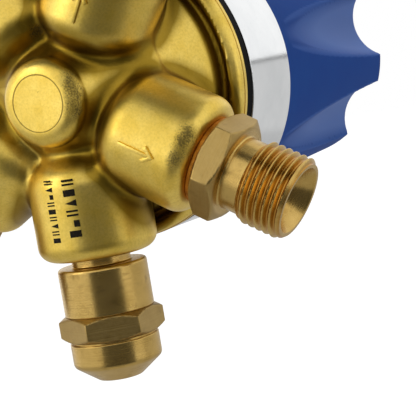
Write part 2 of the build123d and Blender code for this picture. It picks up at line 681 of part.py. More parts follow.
def make_gauge(prefix, angle):
    """One Bourdon gauge, built facing +Z with its stem towards -Y, then laid on its boss."""
    edge = gauge_d - GAUGE_CASE_R
    block_start = edge + BLOCK_GAP
    block_end = block_start + BLOCK_LEN
    tube_low = GAUGE_BACK + 2.0
    tube_high = tube_low + TUBE_W
    frame_back = tube_high + 2.2
    stem = turned(
        (0, port_bottom + 0.5), (stem_r - 0.6, port_bottom + 0.5), (stem_r, port_bottom + 1.1),
        (stem_r, hex_start + 1),
        (GAUGE_NECK_R, edge - 1), (GAUGE_NECK_R, block_start + 1), (0, block_start + 1),
    )
    square = Pos(0, 0, hex_start) * Box(
        GAUGE_HEX_AF, GAUGE_HEX_AF, edge - 0.7 - hex_start, align=(Align.CENTER, Align.CENTER, Align.MIN)
    )
    block_back = GAUGE_BACK + GAUGE_WALL + 0.1
    block = Pos(0, -(block_back + frame_back) / 2, block_start) * Box(
        BLOCK_W, frame_back - block_back, block_end - block_start,
        align=(Align.CENTER, Align.CENTER, Align.MIN),
    )

    def in_gauge(shape):
        """Lay a shape of the gauge's own frame on its boss."""
        return at_boss(angle, Pos(0, 0, gauge_d) * forward(shape))

    tube_out = tube_mean_r + TUBE_T / 2
    tube_in = tube_mean_r - TUBE_T / 2
    gap_mid = math.radians(TUBE_START + TUBE_ARC + (360 - TUBE_ARC) / 2)
    half_gap = math.radians((360 - TUBE_ARC) / 2)
    corners = [(0, 0)]
    corners += [
        (2 * tube_out * math.cos(gap_mid + k * half_gap), 2 * tube_out * math.sin(gap_mid + k * half_gap))
        for k in (-1, 0, 1)
    ]
    wedge = Pos(0, 0, tube_low - 1) * extrude(make_face(Polyline(*corners, close=True)), TUBE_W + 2)
    fit = RUNNING_FIT
    slot = tube(tube_out + fit, tube_in - fit, tube_low - fit, tube_high + fit) - wedge
    wall = TUBE_WALL
    bourdon = tube(tube_out, tube_in, tube_low, tube_high)
    bourdon = bourdon - tube(tube_out - wall, tube_in + wall, tube_low + wall, tube_high - wall) - wedge
    socket = stem + square + block - rod(PASSAGE_R, port_bottom - 1, block_start + 6)
    socket = at_boss(angle, socket) - in_gauge(slot)
    washer = tube(OUTLET_WASHER_R, PORT_R, BOSS_END, hex_start)

    case = tube(GAUGE_CASE_R, case_inner_r, GAUGE_BACK, GAUGE_RIM)
    case = case + rod(GAUGE_CASE_R, GAUGE_BACK, GAUGE_BACK + GAUGE_WALL)
    case = fillet(case.edges().group_by(Axis.Z)[0], 0.6)
    neck_hole = Pos(0, -GAUGE_CASE_R, 0) * Rot(90, 0, 0) * Cylinder(GAUGE_NECK_R + 0.2, 8)
    case = case - neck_hole
    lens_front = GAUGE_RIM + LENS_T
    lens = rod(GAUGE_CASE_R, GAUGE_RIM, lens_front)
    bezel = turned(
        (GAUGE_CASE_R + THREAD_FIT, BEZEL_START), (bezel_r, BEZEL_START), (bezel_r, lens_front),
        (bezel_r - 1.0, lens_front + BEZEL_LIP_T),
        (bezel_r - BEZEL_LIP_W + 0.6, lens_front + BEZEL_LIP_T),
        (bezel_r - BEZEL_LIP_W, lens_front), (GAUGE_CASE_R + THREAD_FIT, lens_front),
    )
    dial = tube(dial_r, 2.0, DIAL_S, DIAL_S + DIAL_T)

    front_plate = frame_back + 1 + PLATE_GAP
    plate_low = -(gauge_d - block_end) - 7.0
    plate_shape = Pos(0, plate_low, 0) * Box(
        MOVEMENT_W, MOVEMENT_TOP - plate_low, 1, align=(Align.CENTER, Align.MIN, Align.MIN)
    )
    arbor_hole = rod(SHAFT_R + RUNNING_FIT, -1, 2)
    plate_shape = plate_shape - arbor_hole - Pos(0, -sector_pivot, 0) * arbor_hole
    frame = Pos(0, 0, frame_back) * plate_shape + Pos(0, 0, front_plate) * plate_shape
    pillar_x = MOVEMENT_W / 2 - LINK_W
    for x, y in ((pillar_x, 2.4), (-pillar_x, plate_low + 1.6), (pillar_x, plate_low + 1.6)):
        frame = frame + Pos(x, y, 0) * rod(PILLAR_R, frame_back + 0.5, front_plate + 0.5)
    for x in (-pillar_x, pillar_x):
        frame = frame + Pos(x, plate_low + 1.6, 0) * rod(1.3, front_plate + 0.5, DIAL_S)

    gear_s = frame_back + 1 + 1.6
    gear_t = 1.4
    teeth, root = gear_teeth(SECTOR_TEETH_FULL, SECTOR_TEETH, 0)
    half_span = 180 / SECTOR_TEETH_FULL * SECTOR_TEETH
    blade = make_face(Polyline(
        (0, 0), (-root * math.sin(math.radians(half_span)), root * math.cos(math.radians(half_span))),
        (0, root * 1.1),
        (root * math.sin(math.radians(half_span)), root * math.cos(math.radians(half_span))),
        close=True,
    )) & Circle(root)
    sector = extrude(blade, gear_t)
    for tooth in teeth:
        sector = sector + extrude(tooth, gear_t)
    sector_rest = -3 * 360 / SECTOR_TEETH_FULL
    tail_turn = math.radians(190 + sector_rest)
    tail = Rot(0, 0, 190) * (Pos(0, -1.2, 0) * Box(TAIL_LEN + 1.2, 2.4, gear_t, align=Align.MIN))
    sector = sector + tail + rod(2.2, 0, gear_t)
    sector = sector - Rot(0, 0, 190) * (Pos(TAIL_LEN, 0, 0) * rod(0.7, -1, gear_t + 1))
    sector = Pos(0, 0, gear_s) * (Rot(0, 0, sector_rest) * sector)
    sector = sector + rod(SHAFT_R, frame_back + 0.1, front_plate + 0.9)
    sector = Pos(0, -sector_pivot, 0) * sector

    pinion_teeth, pinion_root = gear_teeth(PINION_TEETH, PINION_TEETH, 180 / PINION_TEETH)
    pinion = extrude(Circle(pinion_root), gear_t + 0.6)
    for tooth in pinion_teeth:
        pinion = pinion + extrude(tooth, gear_t + 0.6)
    pinion = Pos(0, 0, gear_s - 0.3) * pinion
    pointer_s = DIAL_S + DIAL_T + 1.0
    shaft = pinion + rod(SHAFT_R, frame_back + 0.1, pointer_s + 0.5)
    pointer_len = dial_r - POINTER_MARGIN
    needle = make_face(
        Polyline((-0.9, -7), (0.9, -7), (0.35, pointer_len), (-0.35, pointer_len), close=True)
    )
    pointer = extrude(needle, 0.5) + Cylinder(2.6, 1.2, align=(Align.CENTER, Align.CENTER, Align.MIN))
    pointer = Pos(0, 0, pointer_s) * pointer - rod(SHAFT_R, pointer_s - 1, pointer_s + 0.5)
    start = 135 + (angle - 180)
    pointer = Rot(0, 0, start) * pointer

    tip = math.radians(TUBE_START + TUBE_ARC - 2)
    tip_at = (tube_mean_r * math.cos(tip), tube_mean_r * math.sin(tip))
    link_s = gear_s + gear_t + FREE_GAP
    link_end = link_s + LINK_T
    lug = Pos(tip_at[0], tip_at[1], 0) * rod(LINK_PIN_R, tube_high - 0.2, link_end)
    tail_at = (TAIL_LEN * math.cos(tail_turn), TAIL_LEN * math.sin(tail_turn) - sector_pivot)
    span = math.dist(tip_at, tail_at)
    lean = math.degrees(math.atan2(tail_at[1] - tip_at[1], tail_at[0] - tip_at[0]))
    link = Pos(span / 2, 0, 0) * Rectangle(span, LINK_W) + Circle(2 * LINK_PIN_R)
    link = link + Pos(span, 0, 0) * Circle(LINK_W)
    link = link - Circle(LINK_PIN_R + RUNNING_FIT) - Pos(span, 0, 0) * Circle(0.7)
    link = Pos(tip_at[0], tip_at[1], link_s) * (Rot(0, 0, lean) * extrude(link, link_end - link_s))
    save(f"{prefix}_socket", socket)
    save(f"{prefix}_washer", at_boss(angle, washer))
    save(f"{prefix}_case", in_gauge(case))
    save(f"{prefix}_lens", in_gauge(lens))
    save(f"{prefix}_bezel", in_gauge(bezel))
    save(f"{prefix}_dial", in_gauge(dial))
    save(f"{prefix}_movement_frame", in_gauge(frame))
    save(f"{prefix}_sector", in_gauge(sector))
    save(f"{prefix}_pointer_shaft", in_gauge(shaft))
    save(f"{prefix}_pointer", in_gauge(pointer))
    save(f"{prefix}_bourdon_tube", in_gauge(bourdon + lug))
    save(f"{prefix}_link", in_gauge(link))


save("body", make_body())
make_valve()
make_diaphragm()
make_bonnet()
make_knob(make_adjuster())
make_outlet()
make_relief()
make_inlet()
make_gauge("contents", CONTENTS_GAUGE_ANGLE)
make_gauge("flow", FLOW_GAUGE_ANGLE)
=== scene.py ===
import contextlib
import json
import math

import bmesh
import bpy
import numpy as np
from mathutils import Matrix, Vector

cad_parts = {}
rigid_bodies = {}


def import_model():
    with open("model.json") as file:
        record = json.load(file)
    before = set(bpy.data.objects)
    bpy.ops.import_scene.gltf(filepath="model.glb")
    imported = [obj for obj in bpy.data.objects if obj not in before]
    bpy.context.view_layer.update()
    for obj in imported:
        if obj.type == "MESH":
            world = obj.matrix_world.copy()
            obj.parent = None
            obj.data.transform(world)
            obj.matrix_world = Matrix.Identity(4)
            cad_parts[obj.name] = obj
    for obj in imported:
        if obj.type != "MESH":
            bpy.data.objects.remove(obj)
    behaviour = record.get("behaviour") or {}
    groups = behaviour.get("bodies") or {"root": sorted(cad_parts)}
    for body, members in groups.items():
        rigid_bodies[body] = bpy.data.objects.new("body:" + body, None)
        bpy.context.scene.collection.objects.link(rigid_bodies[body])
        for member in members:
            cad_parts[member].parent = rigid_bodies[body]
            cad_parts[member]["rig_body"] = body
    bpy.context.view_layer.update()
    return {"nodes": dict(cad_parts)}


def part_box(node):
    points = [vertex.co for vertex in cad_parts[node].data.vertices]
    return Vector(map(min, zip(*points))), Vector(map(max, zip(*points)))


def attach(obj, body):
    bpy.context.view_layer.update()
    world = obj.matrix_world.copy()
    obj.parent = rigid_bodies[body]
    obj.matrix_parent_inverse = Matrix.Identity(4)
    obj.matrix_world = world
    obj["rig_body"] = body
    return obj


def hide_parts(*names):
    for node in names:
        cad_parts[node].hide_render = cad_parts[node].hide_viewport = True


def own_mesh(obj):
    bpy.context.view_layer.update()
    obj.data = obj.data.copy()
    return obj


bl_info = {
    "name": "Argon flowmeter regulator",
    "version": (1, 0, 0),
    "blender": (4, 5, 0),
    "location": "View3D > Sidebar > Regulator",
    "description": "Gives a gas regulator's solids their forged, turned, plated and moulded surfaces",
    "category": "Object",
}

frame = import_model()
NODES = frame["nodes"]
BONNET_LOW, BONNET_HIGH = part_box("bonnet")
AXIS = Vector(((BONNET_LOW.x + BONNET_HIGH.x) / 2, 0.0, (BONNET_LOW.z + BONNET_HIGH.z) / 2))

# Angles of the bosses, turned from straight down towards -X, in degrees
RELIEF = 0
OUTLET = 60
FLOW = 150
CONTENTS = 210
INLET = 300
BOSSES = (RELIEF, OUTLET, FLOW, CONTENTS, INLET)

# Sizes that several pieces share, in millimetres. A station is a distance along a piece's own axis.
MM = 0.001
HUB_TOP = -12.55
RIM_R = 30.0
RIM_STATION = 14.4
SPIGOT_R = 26.0
SEAM_STATION = 17.4
BOSS_R = 11.5
BOSS_STATION = 30.5
STEM_START = 21.0
HEXAGON_STATION = 31.5
CHANNEL_R = 1.8
CHANNEL_OFF = 17.2
KNOB_REAR = 37.3
KNOB_FRONT = 104.0
GAUGE_OFF = 68.0
DIAL_FACE = 11.83

# The dial's scale: where it starts and how far it turns, in radians, and its last number
DIAL_START = math.radians(135)
DIAL_SWEEP = math.radians(270)
DIAL_END = 30

# The photograph's view: angles in degrees, the rest in pixels of its frame and in millimetres
VIEW_AZIMUTH, VIEW_ELEVATION, VIEW_ROLL = 206.08, 4.42, -9.51
VIEW_WIDTH = 416.0
VIEW_FOCAL = 1575.0
VIEW_CENTRE = (234.61, 173.17)
VIEW_DISTANCE = 300.0
VIEW_ASIDE, VIEW_BELOW = 30.82, 14.49

# Patches of worn specks on the forging, each laid over a smooth painted shade: each one's spot and reach, in
# metres
WORN_AND_SHADED_PATCHES = (
    ((-0.0676, 0.0115, 0.0385), 0.0026), ((-0.0682, 0.0113, 0.0357), 0.0028),
    ((-0.0675, 0.0117, 0.0328), 0.0025), ((-0.0886, 0.0096, 0.0258), 0.0027),
    ((-0.0874, 0.0106, 0.0234), 0.0028), ((-0.0858, 0.0112, 0.0211), 0.0021),
    ((-0.0595, 0.0068, 0.0484), 0.0025),
)
# Patch where the painted recess shade is lifted, a painted pool of light from below on the web under the hub:
# its spot and reach, in metres
SHADE_LIFT_PATCH = ((-0.0560, 0.0080, 0.0235), 0.0150)
DENT = ((-0.0580, 0.0095, 0.0493), 0.0013)
SCRIBED_R = 0.00534
SCRIBED_FROM = 0.0120

# Places. Shapes are drawn in millimetres with Z along their own axis.


def on_main_axis():
    """Z runs forward from the plane of the bosses to the knob."""
    return Matrix.Translation(AXIS) @ Matrix.Rotation(math.radians(90), 4, "X") @ Matrix.Scale(MM, 4)


def on_boss(angle):
    """Z runs outward from the main axis along one boss."""
    turned = Matrix.Rotation(math.radians(angle + 180), 4, "Y")
    return Matrix.Translation(AXIS) @ turned @ Matrix.Scale(MM, 4)


def on_gauge(angle):
    """Z faces forward out of the dial and Y points away from the body."""
    turned = Matrix.Rotation(math.radians(90), 4, "X")
    return on_boss(angle) @ Matrix.Translation((0, 0, GAUGE_OFF)) @ turned


# Shader sockets and finishes


def srgb(red, green, blue):
    """Colour from 0 to 255 as the shader's linear one."""
    shares = [v / 255 for v in (red, green, blue)]
    return tuple(v / 12.92 if v <= 0.04045 else ((v + 0.055) / 1.055) ** 2.4 for v in shares) + (1.0,)


class Value:
    """A shader socket that works like a number: each sum adds its Math node."""

    def __init__(self, nodes, socket):
        self.nodes = nodes
        self.socket = socket

    def __add__(self, other):
        return self.nodes.math("ADD", self, other)

    __radd__ = __add__

    def __sub__(self, other):
        return self.nodes.math("SUBTRACT", self, other)

    def __rsub__(self, other):
        return self.nodes.math("SUBTRACT", other, self)

    def __mul__(self, other):
        return self.nodes.math("MULTIPLY", self, other)

    __rmul__ = __mul__

    def __gt__(self, other):
        return self.nodes.math("GREATER_THAN", self, other)

    def between(self, low, high):
        """0 below low, 1 above high and a straight run in between."""
        return self.nodes.node("ShaderNodeMapRange", {}, {"Value": self, "From Min": low, "From Max": high})


class Nodes:
    """The node tree of a material or of the world, filled by expressions."""

    def __init__(self, owner):
        owner.use_nodes = True
        self.tree = owner.node_tree
        self.tree.nodes.clear()

    def node(self, kind, settings, sockets, output=0):
        """Adds a node: its settings first, then the values or links of its sockets."""
        made = self.tree.nodes.new(kind)
        for key, value in settings.items():
            setattr(made, key, value)
        for key, value in sockets.items():
            if isinstance(value, Value):
                self.tree.links.new(value.socket, made.inputs[key])
            else:
                made.inputs[key].default_value = value
        return Value(self, made.outputs[output]) if made.outputs else None

    def math(self, operation, first, second):
        return self.node("ShaderNodeMath", {"operation": operation}, {0: first, 1: second})

    def mix(self, share, first, second):
        """Colour from first at share 0 to second at share 1."""
        return self.node("ShaderNodeMix", {"data_type": "RGBA"}, {0: share, 6: first, 7: second}, 2)

    def seen_directly(self):
        """1 where the camera sees it, plainly or through glass or in gloss, and 0 where it only lights."""
        camera, glossy, transmission = (self.node("ShaderNodeLightPath", {}, {}, k) for k in (0, 3, 6))
        return self.math("MAXIMUM", self.math("MAXIMUM", camera, glossy), transmission)


class Finish(Nodes):
    """One material with the nodes that make it."""

    def __init__(self, name):
        self.material = bpy.data.materials.new(name)
        super().__init__(self.material)
        self.place = self.node("ShaderNodeTexCoord", {}, {}, 3)

    def noise(self, scale, detail=2.0, roughness=0.5, stretch=None):
        """Cloud of values about 0.5. Scale is in patches per metre."""
        place = self.place
        if stretch:
            place = self.node("ShaderNodeMapping", {}, {"Vector": place, "Scale": stretch})
        sockets = {"Vector": place, "Scale": scale, "Detail": detail, "Roughness": roughness}
        return self.node("ShaderNodeTexNoise", {}, sockets)

    def feed_lines(self, scale, detail):
        """Values that change along a turned piece's profile and not round it."""
        sockets = {"W": self.attribute("turning"), "Scale": scale, "Detail": detail}
        return self.node("ShaderNodeTexNoise", {"noise_dimensions": "1D"}, sockets)

    def attribute(self, name):
        return self.node("ShaderNodeAttribute", {"attribute_name": name}, {}, 2)

    def near(self, spot, reach):
        """1 at a spot in the row frame, falling to 0 at its reach in metres."""
        apart = self.node("ShaderNodeVectorMath", {"operation": "DISTANCE"}, {0: self.place, 1: spot}, 1)
        return 1 - apart.between(0.0, reach)

    def bump(self, height, depth, strength=1.0, under=None):
        """Surface normal over a height from 0 to 1 that is this deep, in metres."""
        sockets = {"Height": height, "Distance": depth, "Strength": strength}
        if under:
            sockets["Normal"] = under
        return self.node("ShaderNodeBump", {}, sockets)

    def surface(self, **sockets):
        """Ends the finish in a Principled shader and returns its material."""
        named = {key.replace("_", " "): value for key, value in sockets.items()}
        shader = self.node("ShaderNodeBsdfPrincipled", {}, named)
        self.node("ShaderNodeOutputMaterial", {}, {"Surface": shader})
        return self.material


def settings():
    return bpy.context.scene.regulator_looks


def forged_brass():
    """Blasted forging: satin grain, mottled tone, painted shade in the recesses with a painted lift of it
    below the hub, worn specks over a painted shade, and the hub's scribed ring.
    """
    f = Finish("finish_forged_brass")
    # Painted light: the recess shade is lifted below the hub, where light from below falls on the web.
    shade_lift = f.near(*SHADE_LIFT_PATCH).between(0.0, 0.6)
    shade = f.attribute("painted_recess_shade") * (1 - 0.8 * shade_lift)
    grain = f.noise(2300.0, 3.0, 0.6)
    mottle = f.noise(240.0, 5.0, 0.62)
    cloud = f.noise(75.0, 3.0, 0.5)
    tone = f.mix(mottle.between(0.35, 0.68), settings().forged_colour, settings().forged_shade)
    tone = f.mix(cloud.between(0.42, 0.7) * 0.45, tone, srgb(206, 180, 84))
    tone = f.mix(grain.between(0.42, 0.68) * 0.24, tone, srgb(176, 144, 52))
    # Painted shade: the recesses are darkened, the deeper the darker, by the recess layer on the mesh.
    tone = f.mix(shade.between(0.02, 0.2) * 0.85, tone, srgb(138, 108, 18))
    tone = f.mix(shade.between(0.3, 0.8) * 0.55, tone, srgb(92, 66, 6))
    level = f.node("ShaderNodeSeparateXYZ", {}, {"Vector": f.place}, 1)
    flat = f.node("ShaderNodeVectorMath", {"operation": "MULTIPLY"}, {0: f.place, 1: (1.0, 0.0, 1.0)})
    off = f.node("ShaderNodeVectorMath", {"operation": "DISTANCE"}, {0: flat, 1: (AXIS.x, 0.0, AXIS.z)}, 1)
    apart = f.node("ShaderNodeMath", {"operation": "ABSOLUTE"}, {0: off - SCRIBED_R})
    scribed = (0.00014 - apart).between(0.0, 0.00010) * (level > SCRIBED_FROM)
    worn_and_shaded = sum(f.near(spot, reach) for spot, reach in WORN_AND_SHADED_PATCHES)
    speck = f.noise(3000.0, 3.0, 0.7) + 0.5 * f.noise(500.0, 2.0, 0.5)
    pit = f.noise(1300.0, 1.0, 0.5).between(0.79, 0.83)
    stain = (worn_and_shaded * 0.3 + speck).between(0.84, 1.1) * worn_and_shaded.between(0.0, 0.45)
    # Painted shade: a smooth dark olive under each patch of worn specks. The specks themselves are laid on
    # next.
    tone = f.mix(worn_and_shaded.between(0.1, 1.1) * 0.6, tone, srgb(108, 88, 30))
    tone = f.mix(stain * 0.75 + pit * 0.35, tone, srgb(42, 34, 14))
    tone = f.mix(scribed * 0.55, tone, srgb(96, 66, 16))
    dent = f.near(*DENT).between(0.15, 0.4)
    height = mottle - 2.5 * scribed - 0.8 * stain - 1.2 * pit - 1.6 * dent
    return f.surface(
        Base_Color=tone, Metallic=1.0 - 0.3 * stain, Roughness=0.29 + 0.14 * mottle + 0.15 * stain,
        Normal=f.bump(height, 0.00010, 0.5, f.bump(grain, 0.00004, 0.6)),
    )


def turned_brass():
    """Lathe-turned brass with fine feed lines that follow each piece's own profile."""
    f = Finish("finish_turned_brass")
    lines = f.feed_lines(9.0, 3.0)
    mottle = f.noise(260.0, 4.0, 0.6)
    stain = f.noise(420.0, 5.0, 0.65).between(0.56, 0.72)
    tone = f.mix(mottle.between(0.3, 0.7), settings().turned_colour, settings().turned_shade)
    tone = f.mix(stain * 0.45, tone, srgb(124, 94, 40))
    milled = f.attribute("milled")
    scratch = f.feed_lines(2.6, 5.0) * 0.5 + f.noise(1500.0, 4.0, 0.7) * 0.5
    tone = f.mix(milled * 0.55, tone, srgb(150, 124, 74))
    tone = f.mix(milled * scratch.between(0.4, 0.62) * 0.3, tone, srgb(196, 172, 112))
    # Painted shade: thread roots and the bore's mouth are darkened to a deep orange by the groove layer.
    tone = f.mix(f.attribute("groove").between(0.3, 1.0) * 0.7, tone, srgb(176, 116, 22))
    rough = 0.16 + 0.1 * mottle + 0.08 * lines + 0.3 * milled * scratch
    relief = f.bump(scratch * milled, 0.00006, 0.7, f.bump(lines, 0.00003, 0.5))
    return f.surface(Base_Color=tone, Metallic=1.0, Roughness=rough, Normal=relief)


def chrome_plate():
    """Bright plating over fine feed lines, with a few dull patches."""
    f = Finish("finish_chrome_plate")
    lines = f.feed_lines(6.0, 4.0)
    haze = f.noise(70.0, 4.0, 0.6)
    tone = f.mix(haze.between(0.35, 0.7), srgb(246, 247, 247), srgb(232, 234, 235))
    return f.surface(
        Base_Color=tone, Metallic=1.0, Roughness=0.08 + 0.05 * haze + 0.04 * lines,
        Normal=f.bump(lines, 0.00001, 0.3),
    )


def blue_plastic():
    """Moulded knob: satin skin with faint spark-eroded grain, slightly paler lobe edges and a painted
    highlight on the scallop walls.
    """
    f = Finish("finish_blue_plastic")
    grain = f.noise(3200.0, 2.0, 0.5)
    cloud = f.noise(90.0, 4.0, 0.6)
    tone = f.mix(cloud.between(0.35, 0.7), settings().knob_colour, srgb(14, 58, 124))
    # Painted highlight: the scallop walls are lightened, the deeper the paler, in place of the gloss that
    # light from above gives them.
    tone = f.mix(f.attribute("grip").between(0.1, 1.0) * 0.45, tone, srgb(112, 134, 184))
    tone = f.mix(f.attribute("edge").between(0.1, 1.0) * 0.3, tone, srgb(70, 100, 162))
    return f.surface(
        Base_Color=tone, Roughness=0.50 + 0.10 * cloud, Metallic=0.0, Specular_IOR_Level=0.04,
        Normal=f.bump(grain, 0.00003, 0.3),
    )


def clouded(name, cloud, edge, tones, rough, relief, **sockets):
    """Finish of two tones in soft clouds, which also vary its roughness and lift it a little.

    cloud is the noise's scale, detail and roughness, rough the least roughness and how much the clouds
    add, and relief the depth and strength of the bump."""
    f = Finish("finish_" + name)
    haze = f.noise(*cloud)
    tone = f.mix(haze.between(edge, 1 - edge), *(srgb(*tone) for tone in tones))
    return f.surface(
        Base_Color=tone, Roughness=rough[0] + rough[1] * haze, Normal=f.bump(haze, *relief), **sockets
    )


def copper():
    tones = ((206, 136, 50), (164, 102, 32))
    return clouded("copper", (500.0, 4.0, 0.6), 0.35, tones, (0.38, 0.2), (0.00003, 0.4), Metallic=1.0)


def spring_steel():
    tones = ((132, 132, 134), (84, 82, 80))
    return clouded("spring_steel", (420.0, 4.0, 0.6), 0.35, tones, (0.24, 0.22), (0.00002, 0.3), Metallic=1.0)


def black_rubber():
    return clouded(
        "black_rubber", (300.0, 3.0, 0.5), 0.3, ((6, 6, 7), (14, 13, 12)), (0.4, 0.12), (0.00003, 0.3),
        Specular_IOR_Level=0.02,
    )


def nylon():
    tones = ((232, 229, 214), (214, 208, 190))
    return clouded("nylon", (380.0, 3.0, 0.5), 0.3, tones, (0.42, 0.12), (0.00003, 0.3))


def dial_white():
    tones = ((240, 240, 236), (232, 231, 226))
    return clouded("dial_white", (260.0, 3.0, 0.5), 0.3, tones, (0.46, 0.1), (0.00001, 0.2))


def pointer_black():
    tones = ((16, 16, 17), (28, 28, 29))
    return clouded("pointer_black", (500.0, 3.0, 0.5), 0.3, tones, (0.36, 0.14), (0.00001, 0.2))


def diaphragm_rubber():
    """Rubberised cloth: the weave shows faintly through."""
    f = Finish("finish_diaphragm_rubber")
    apart = f.node("ShaderNodeSeparateXYZ", {}, {"Vector": f.place})
    weave = (f.math("SINE", apart * 9000.0, 0.0) + 1.0) * 0.5
    tone = f.mix(weave, srgb(26, 26, 27), srgb(44, 43, 42))
    relief = f.bump(weave, 0.00004, 0.4)
    return f.surface(Base_Color=tone, Roughness=0.55 + 0.1 * weave, Metallic=0.0, Normal=relief)


def steel():
    f = Finish("finish_steel")
    haze = f.noise(240.0, 4.0, 0.6)
    lines = f.noise(200.0, 3.0, 0.6, stretch=(1.0, 12.0, 1.0))
    tone = f.mix(haze.between(0.3, 0.7), srgb(186, 188, 190), srgb(150, 152, 156))
    return f.surface(
        Base_Color=tone, Metallic=1.0, Roughness=0.24 + 0.16 * lines, Normal=f.bump(lines, 0.00002, 0.4)
    )


def sintered_bronze():
    """Pressed bronze beads with open pores between them."""
    f = Finish("finish_sintered_bronze")
    beads = f.node("ShaderNodeTexVoronoi", {}, {"Vector": f.place, "Scale": 3600.0})
    tone = f.mix(beads.between(0.1, 0.6), srgb(186, 142, 84), srgb(74, 50, 24))
    return f.surface(
        Base_Color=tone, Metallic=1.0, Roughness=0.4 + 0.3 * beads, Normal=f.bump(1 - beads, 0.00012, 0.8)
    )


def clear_lens():
    """Clear moulded window. Only its alpha and gloss show."""
    f = Finish("finish_clear_lens")
    smear = f.noise(60.0, 4.0, 0.6)
    tone = f.mix(smear.between(0.3, 0.7), srgb(236, 242, 244), srgb(226, 234, 238))
    return f.surface(Base_Color=tone, Metallic=0.0, Roughness=0.06 + 0.05 * smear, Alpha=0.12 + 0.05 * smear)


def print_ink():
    """Pad-printed black ink, worn thin in places."""
    f = Finish("finish_print_ink")
    wear = f.noise(1600.0, 4.0, 0.6).between(0.5, 0.75)
    tone = f.mix(wear * 0.5, srgb(14, 12, 7), srgb(70, 54, 18))
    return f.surface(Base_Color=tone, Metallic=0.3 * wear, Roughness=0.5 + 0.1 * wear, Specular_IOR_Level=0.1)


FINISHES = {
    made.__name__: made
    for made in (
        forged_brass, turned_brass, copper, chrome_plate, blue_plastic, black_rubber, diaphragm_rubber, steel,
        spring_steel, nylon, sintered_bronze, dial_white, pointer_black, clear_lens, print_ink,
    )
}


def finish(name):
    """The material of this finish, made once."""
    return bpy.data.materials.get("finish_" + name) or FINISHES[name]()


# Shapes


def rounded(corners, steps=5):
    """Profile through (radius, station, rounding) corners with each rounding drawn as an arc."""
    profile = []
    for index, corner in enumerate(corners):
        here = Vector(corner[:2])
        size = corner[2] if len(corner) > 2 else 0
        if not size:
            profile.append(tuple(here))
            continue
        back = Vector(corners[index - 1][:2]) - here
        ahead = Vector(corners[(index + 1) % len(corners)][:2]) - here
        half = back.angle(ahead) / 2
        cut = size / math.tan(half)
        back.normalize()
        ahead.normalize()
        centre = here + (back + ahead).normalized() * size / math.sin(half)
        first = here + back * cut - centre
        turn = first.angle_signed(here + ahead * cut - centre)
        profile.append(tuple(here + back * (cut + min(0.08, size / 3))))
        for step in range(steps + 1):
            part = -turn * step / steps
            x = first.x * math.cos(part) - first.y * math.sin(part)
            y = first.x * math.sin(part) + first.y * math.cos(part)
            profile.append((centre.x + x, centre.y + y))
        profile.append(tuple(here + ahead * (cut + min(0.08, size / 3))))
    return profile


def add_object(name, data):
    """Puts a new object with this mesh, text, light or camera in the scene."""
    made = bpy.data.objects.new(name, data)
    bpy.context.scene.collection.objects.link(made)
    return made


def mesh_piece(name, points, faces, place):
    """A mesh object whose place is in its points."""
    mesh = bpy.data.meshes.new(name)
    mesh.from_pydata(points, [], faces)
    mesh.transform(place)
    return add_object(name, mesh)


def plain_mesh(piece):
    """Mesh of an object as its modifiers or its text make it. The object itself goes."""
    mesh = bpy.data.meshes.new_from_object(piece.evaluated_get(bpy.context.evaluated_depsgraph_get()))
    bpy.data.objects.remove(piece)
    return mesh


@contextlib.contextmanager
def reshaping(mesh):
    """Opens a mesh for changes and writes them back at the end."""
    work = bmesh.new()
    work.from_mesh(mesh)
    yield work
    work.to_mesh(mesh)
    work.free()


def add_layer(mesh, name, values):
    """Stores one number at each point, which a finish reads by this name."""
    layer = mesh.attributes.new(name, "FLOAT", "POINT")
    layer.data.foreach_set("value", np.asarray(values, np.float32))


def smooth(mesh, angle=38):
    """Shades a mesh smooth and keeps the edges that are steeper than the angle."""
    mesh.shade_smooth()
    mesh.set_sharp_from_angle(angle=math.radians(angle))


def full_turn(columns):
    """Even angles round a circle, without the last one that closes it."""
    return np.linspace(0, 2 * np.pi, columns, endpoint=False)


def lathe(name, rows, place, around=144):
    """Closed skin through rows of (radius, station) and, where a row has them, values of its layers.

    A radius or a value may be an array round the row. around is the number of columns or their angles."""
    turn = np.asarray(around, float) if np.ndim(around) else full_turn(around)
    columns = len(turn)
    radius = np.array([np.broadcast_to(row[0], columns) for row in rows])
    station = np.array([np.broadcast_to(row[1], columns) for row in rows])
    points = np.stack((radius * np.cos(turn), radius * np.sin(turn), station), axis=-1).reshape(-1, 3)
    solid_ends = radius[0].max() < 1e-6 and radius[-1].max() < 1e-6
    row, column = np.meshgrid(np.arange(len(rows) - solid_ends), np.arange(columns), indexing="ij")
    next_row, next_column = (row + 1) % len(rows), (column + 1) % columns
    corners = ((row, column), (row, next_column), (next_row, next_column), (next_row, column))
    faces = np.stack([r * columns + c for r, c in corners], axis=-1).reshape(-1, 4)
    piece = mesh_piece(name, points.tolist(), faces.tolist(), Matrix())
    step = np.hypot(np.diff(radius.mean(1)), np.diff(station.mean(1)))
    layers = {"turning": np.repeat(np.concatenate(([0], np.cumsum(step))), columns)}
    for key in {key for row in rows if len(row) > 2 for key in row[2]}:
        named = [row[2].get(key, 0) if len(row) > 2 else 0 for row in rows]
        layers[key] = np.concatenate([np.broadcast_to(value, columns) for value in named])
    for key, values in layers.items():
        add_layer(piece.data, key, values)
    if solid_ends:
        with reshaping(piece.data) as work:
            bmesh.ops.remove_doubles(work, verts=work.verts, dist=1e-4)
    piece.data.transform(place)
    smooth(piece.data)
    return piece


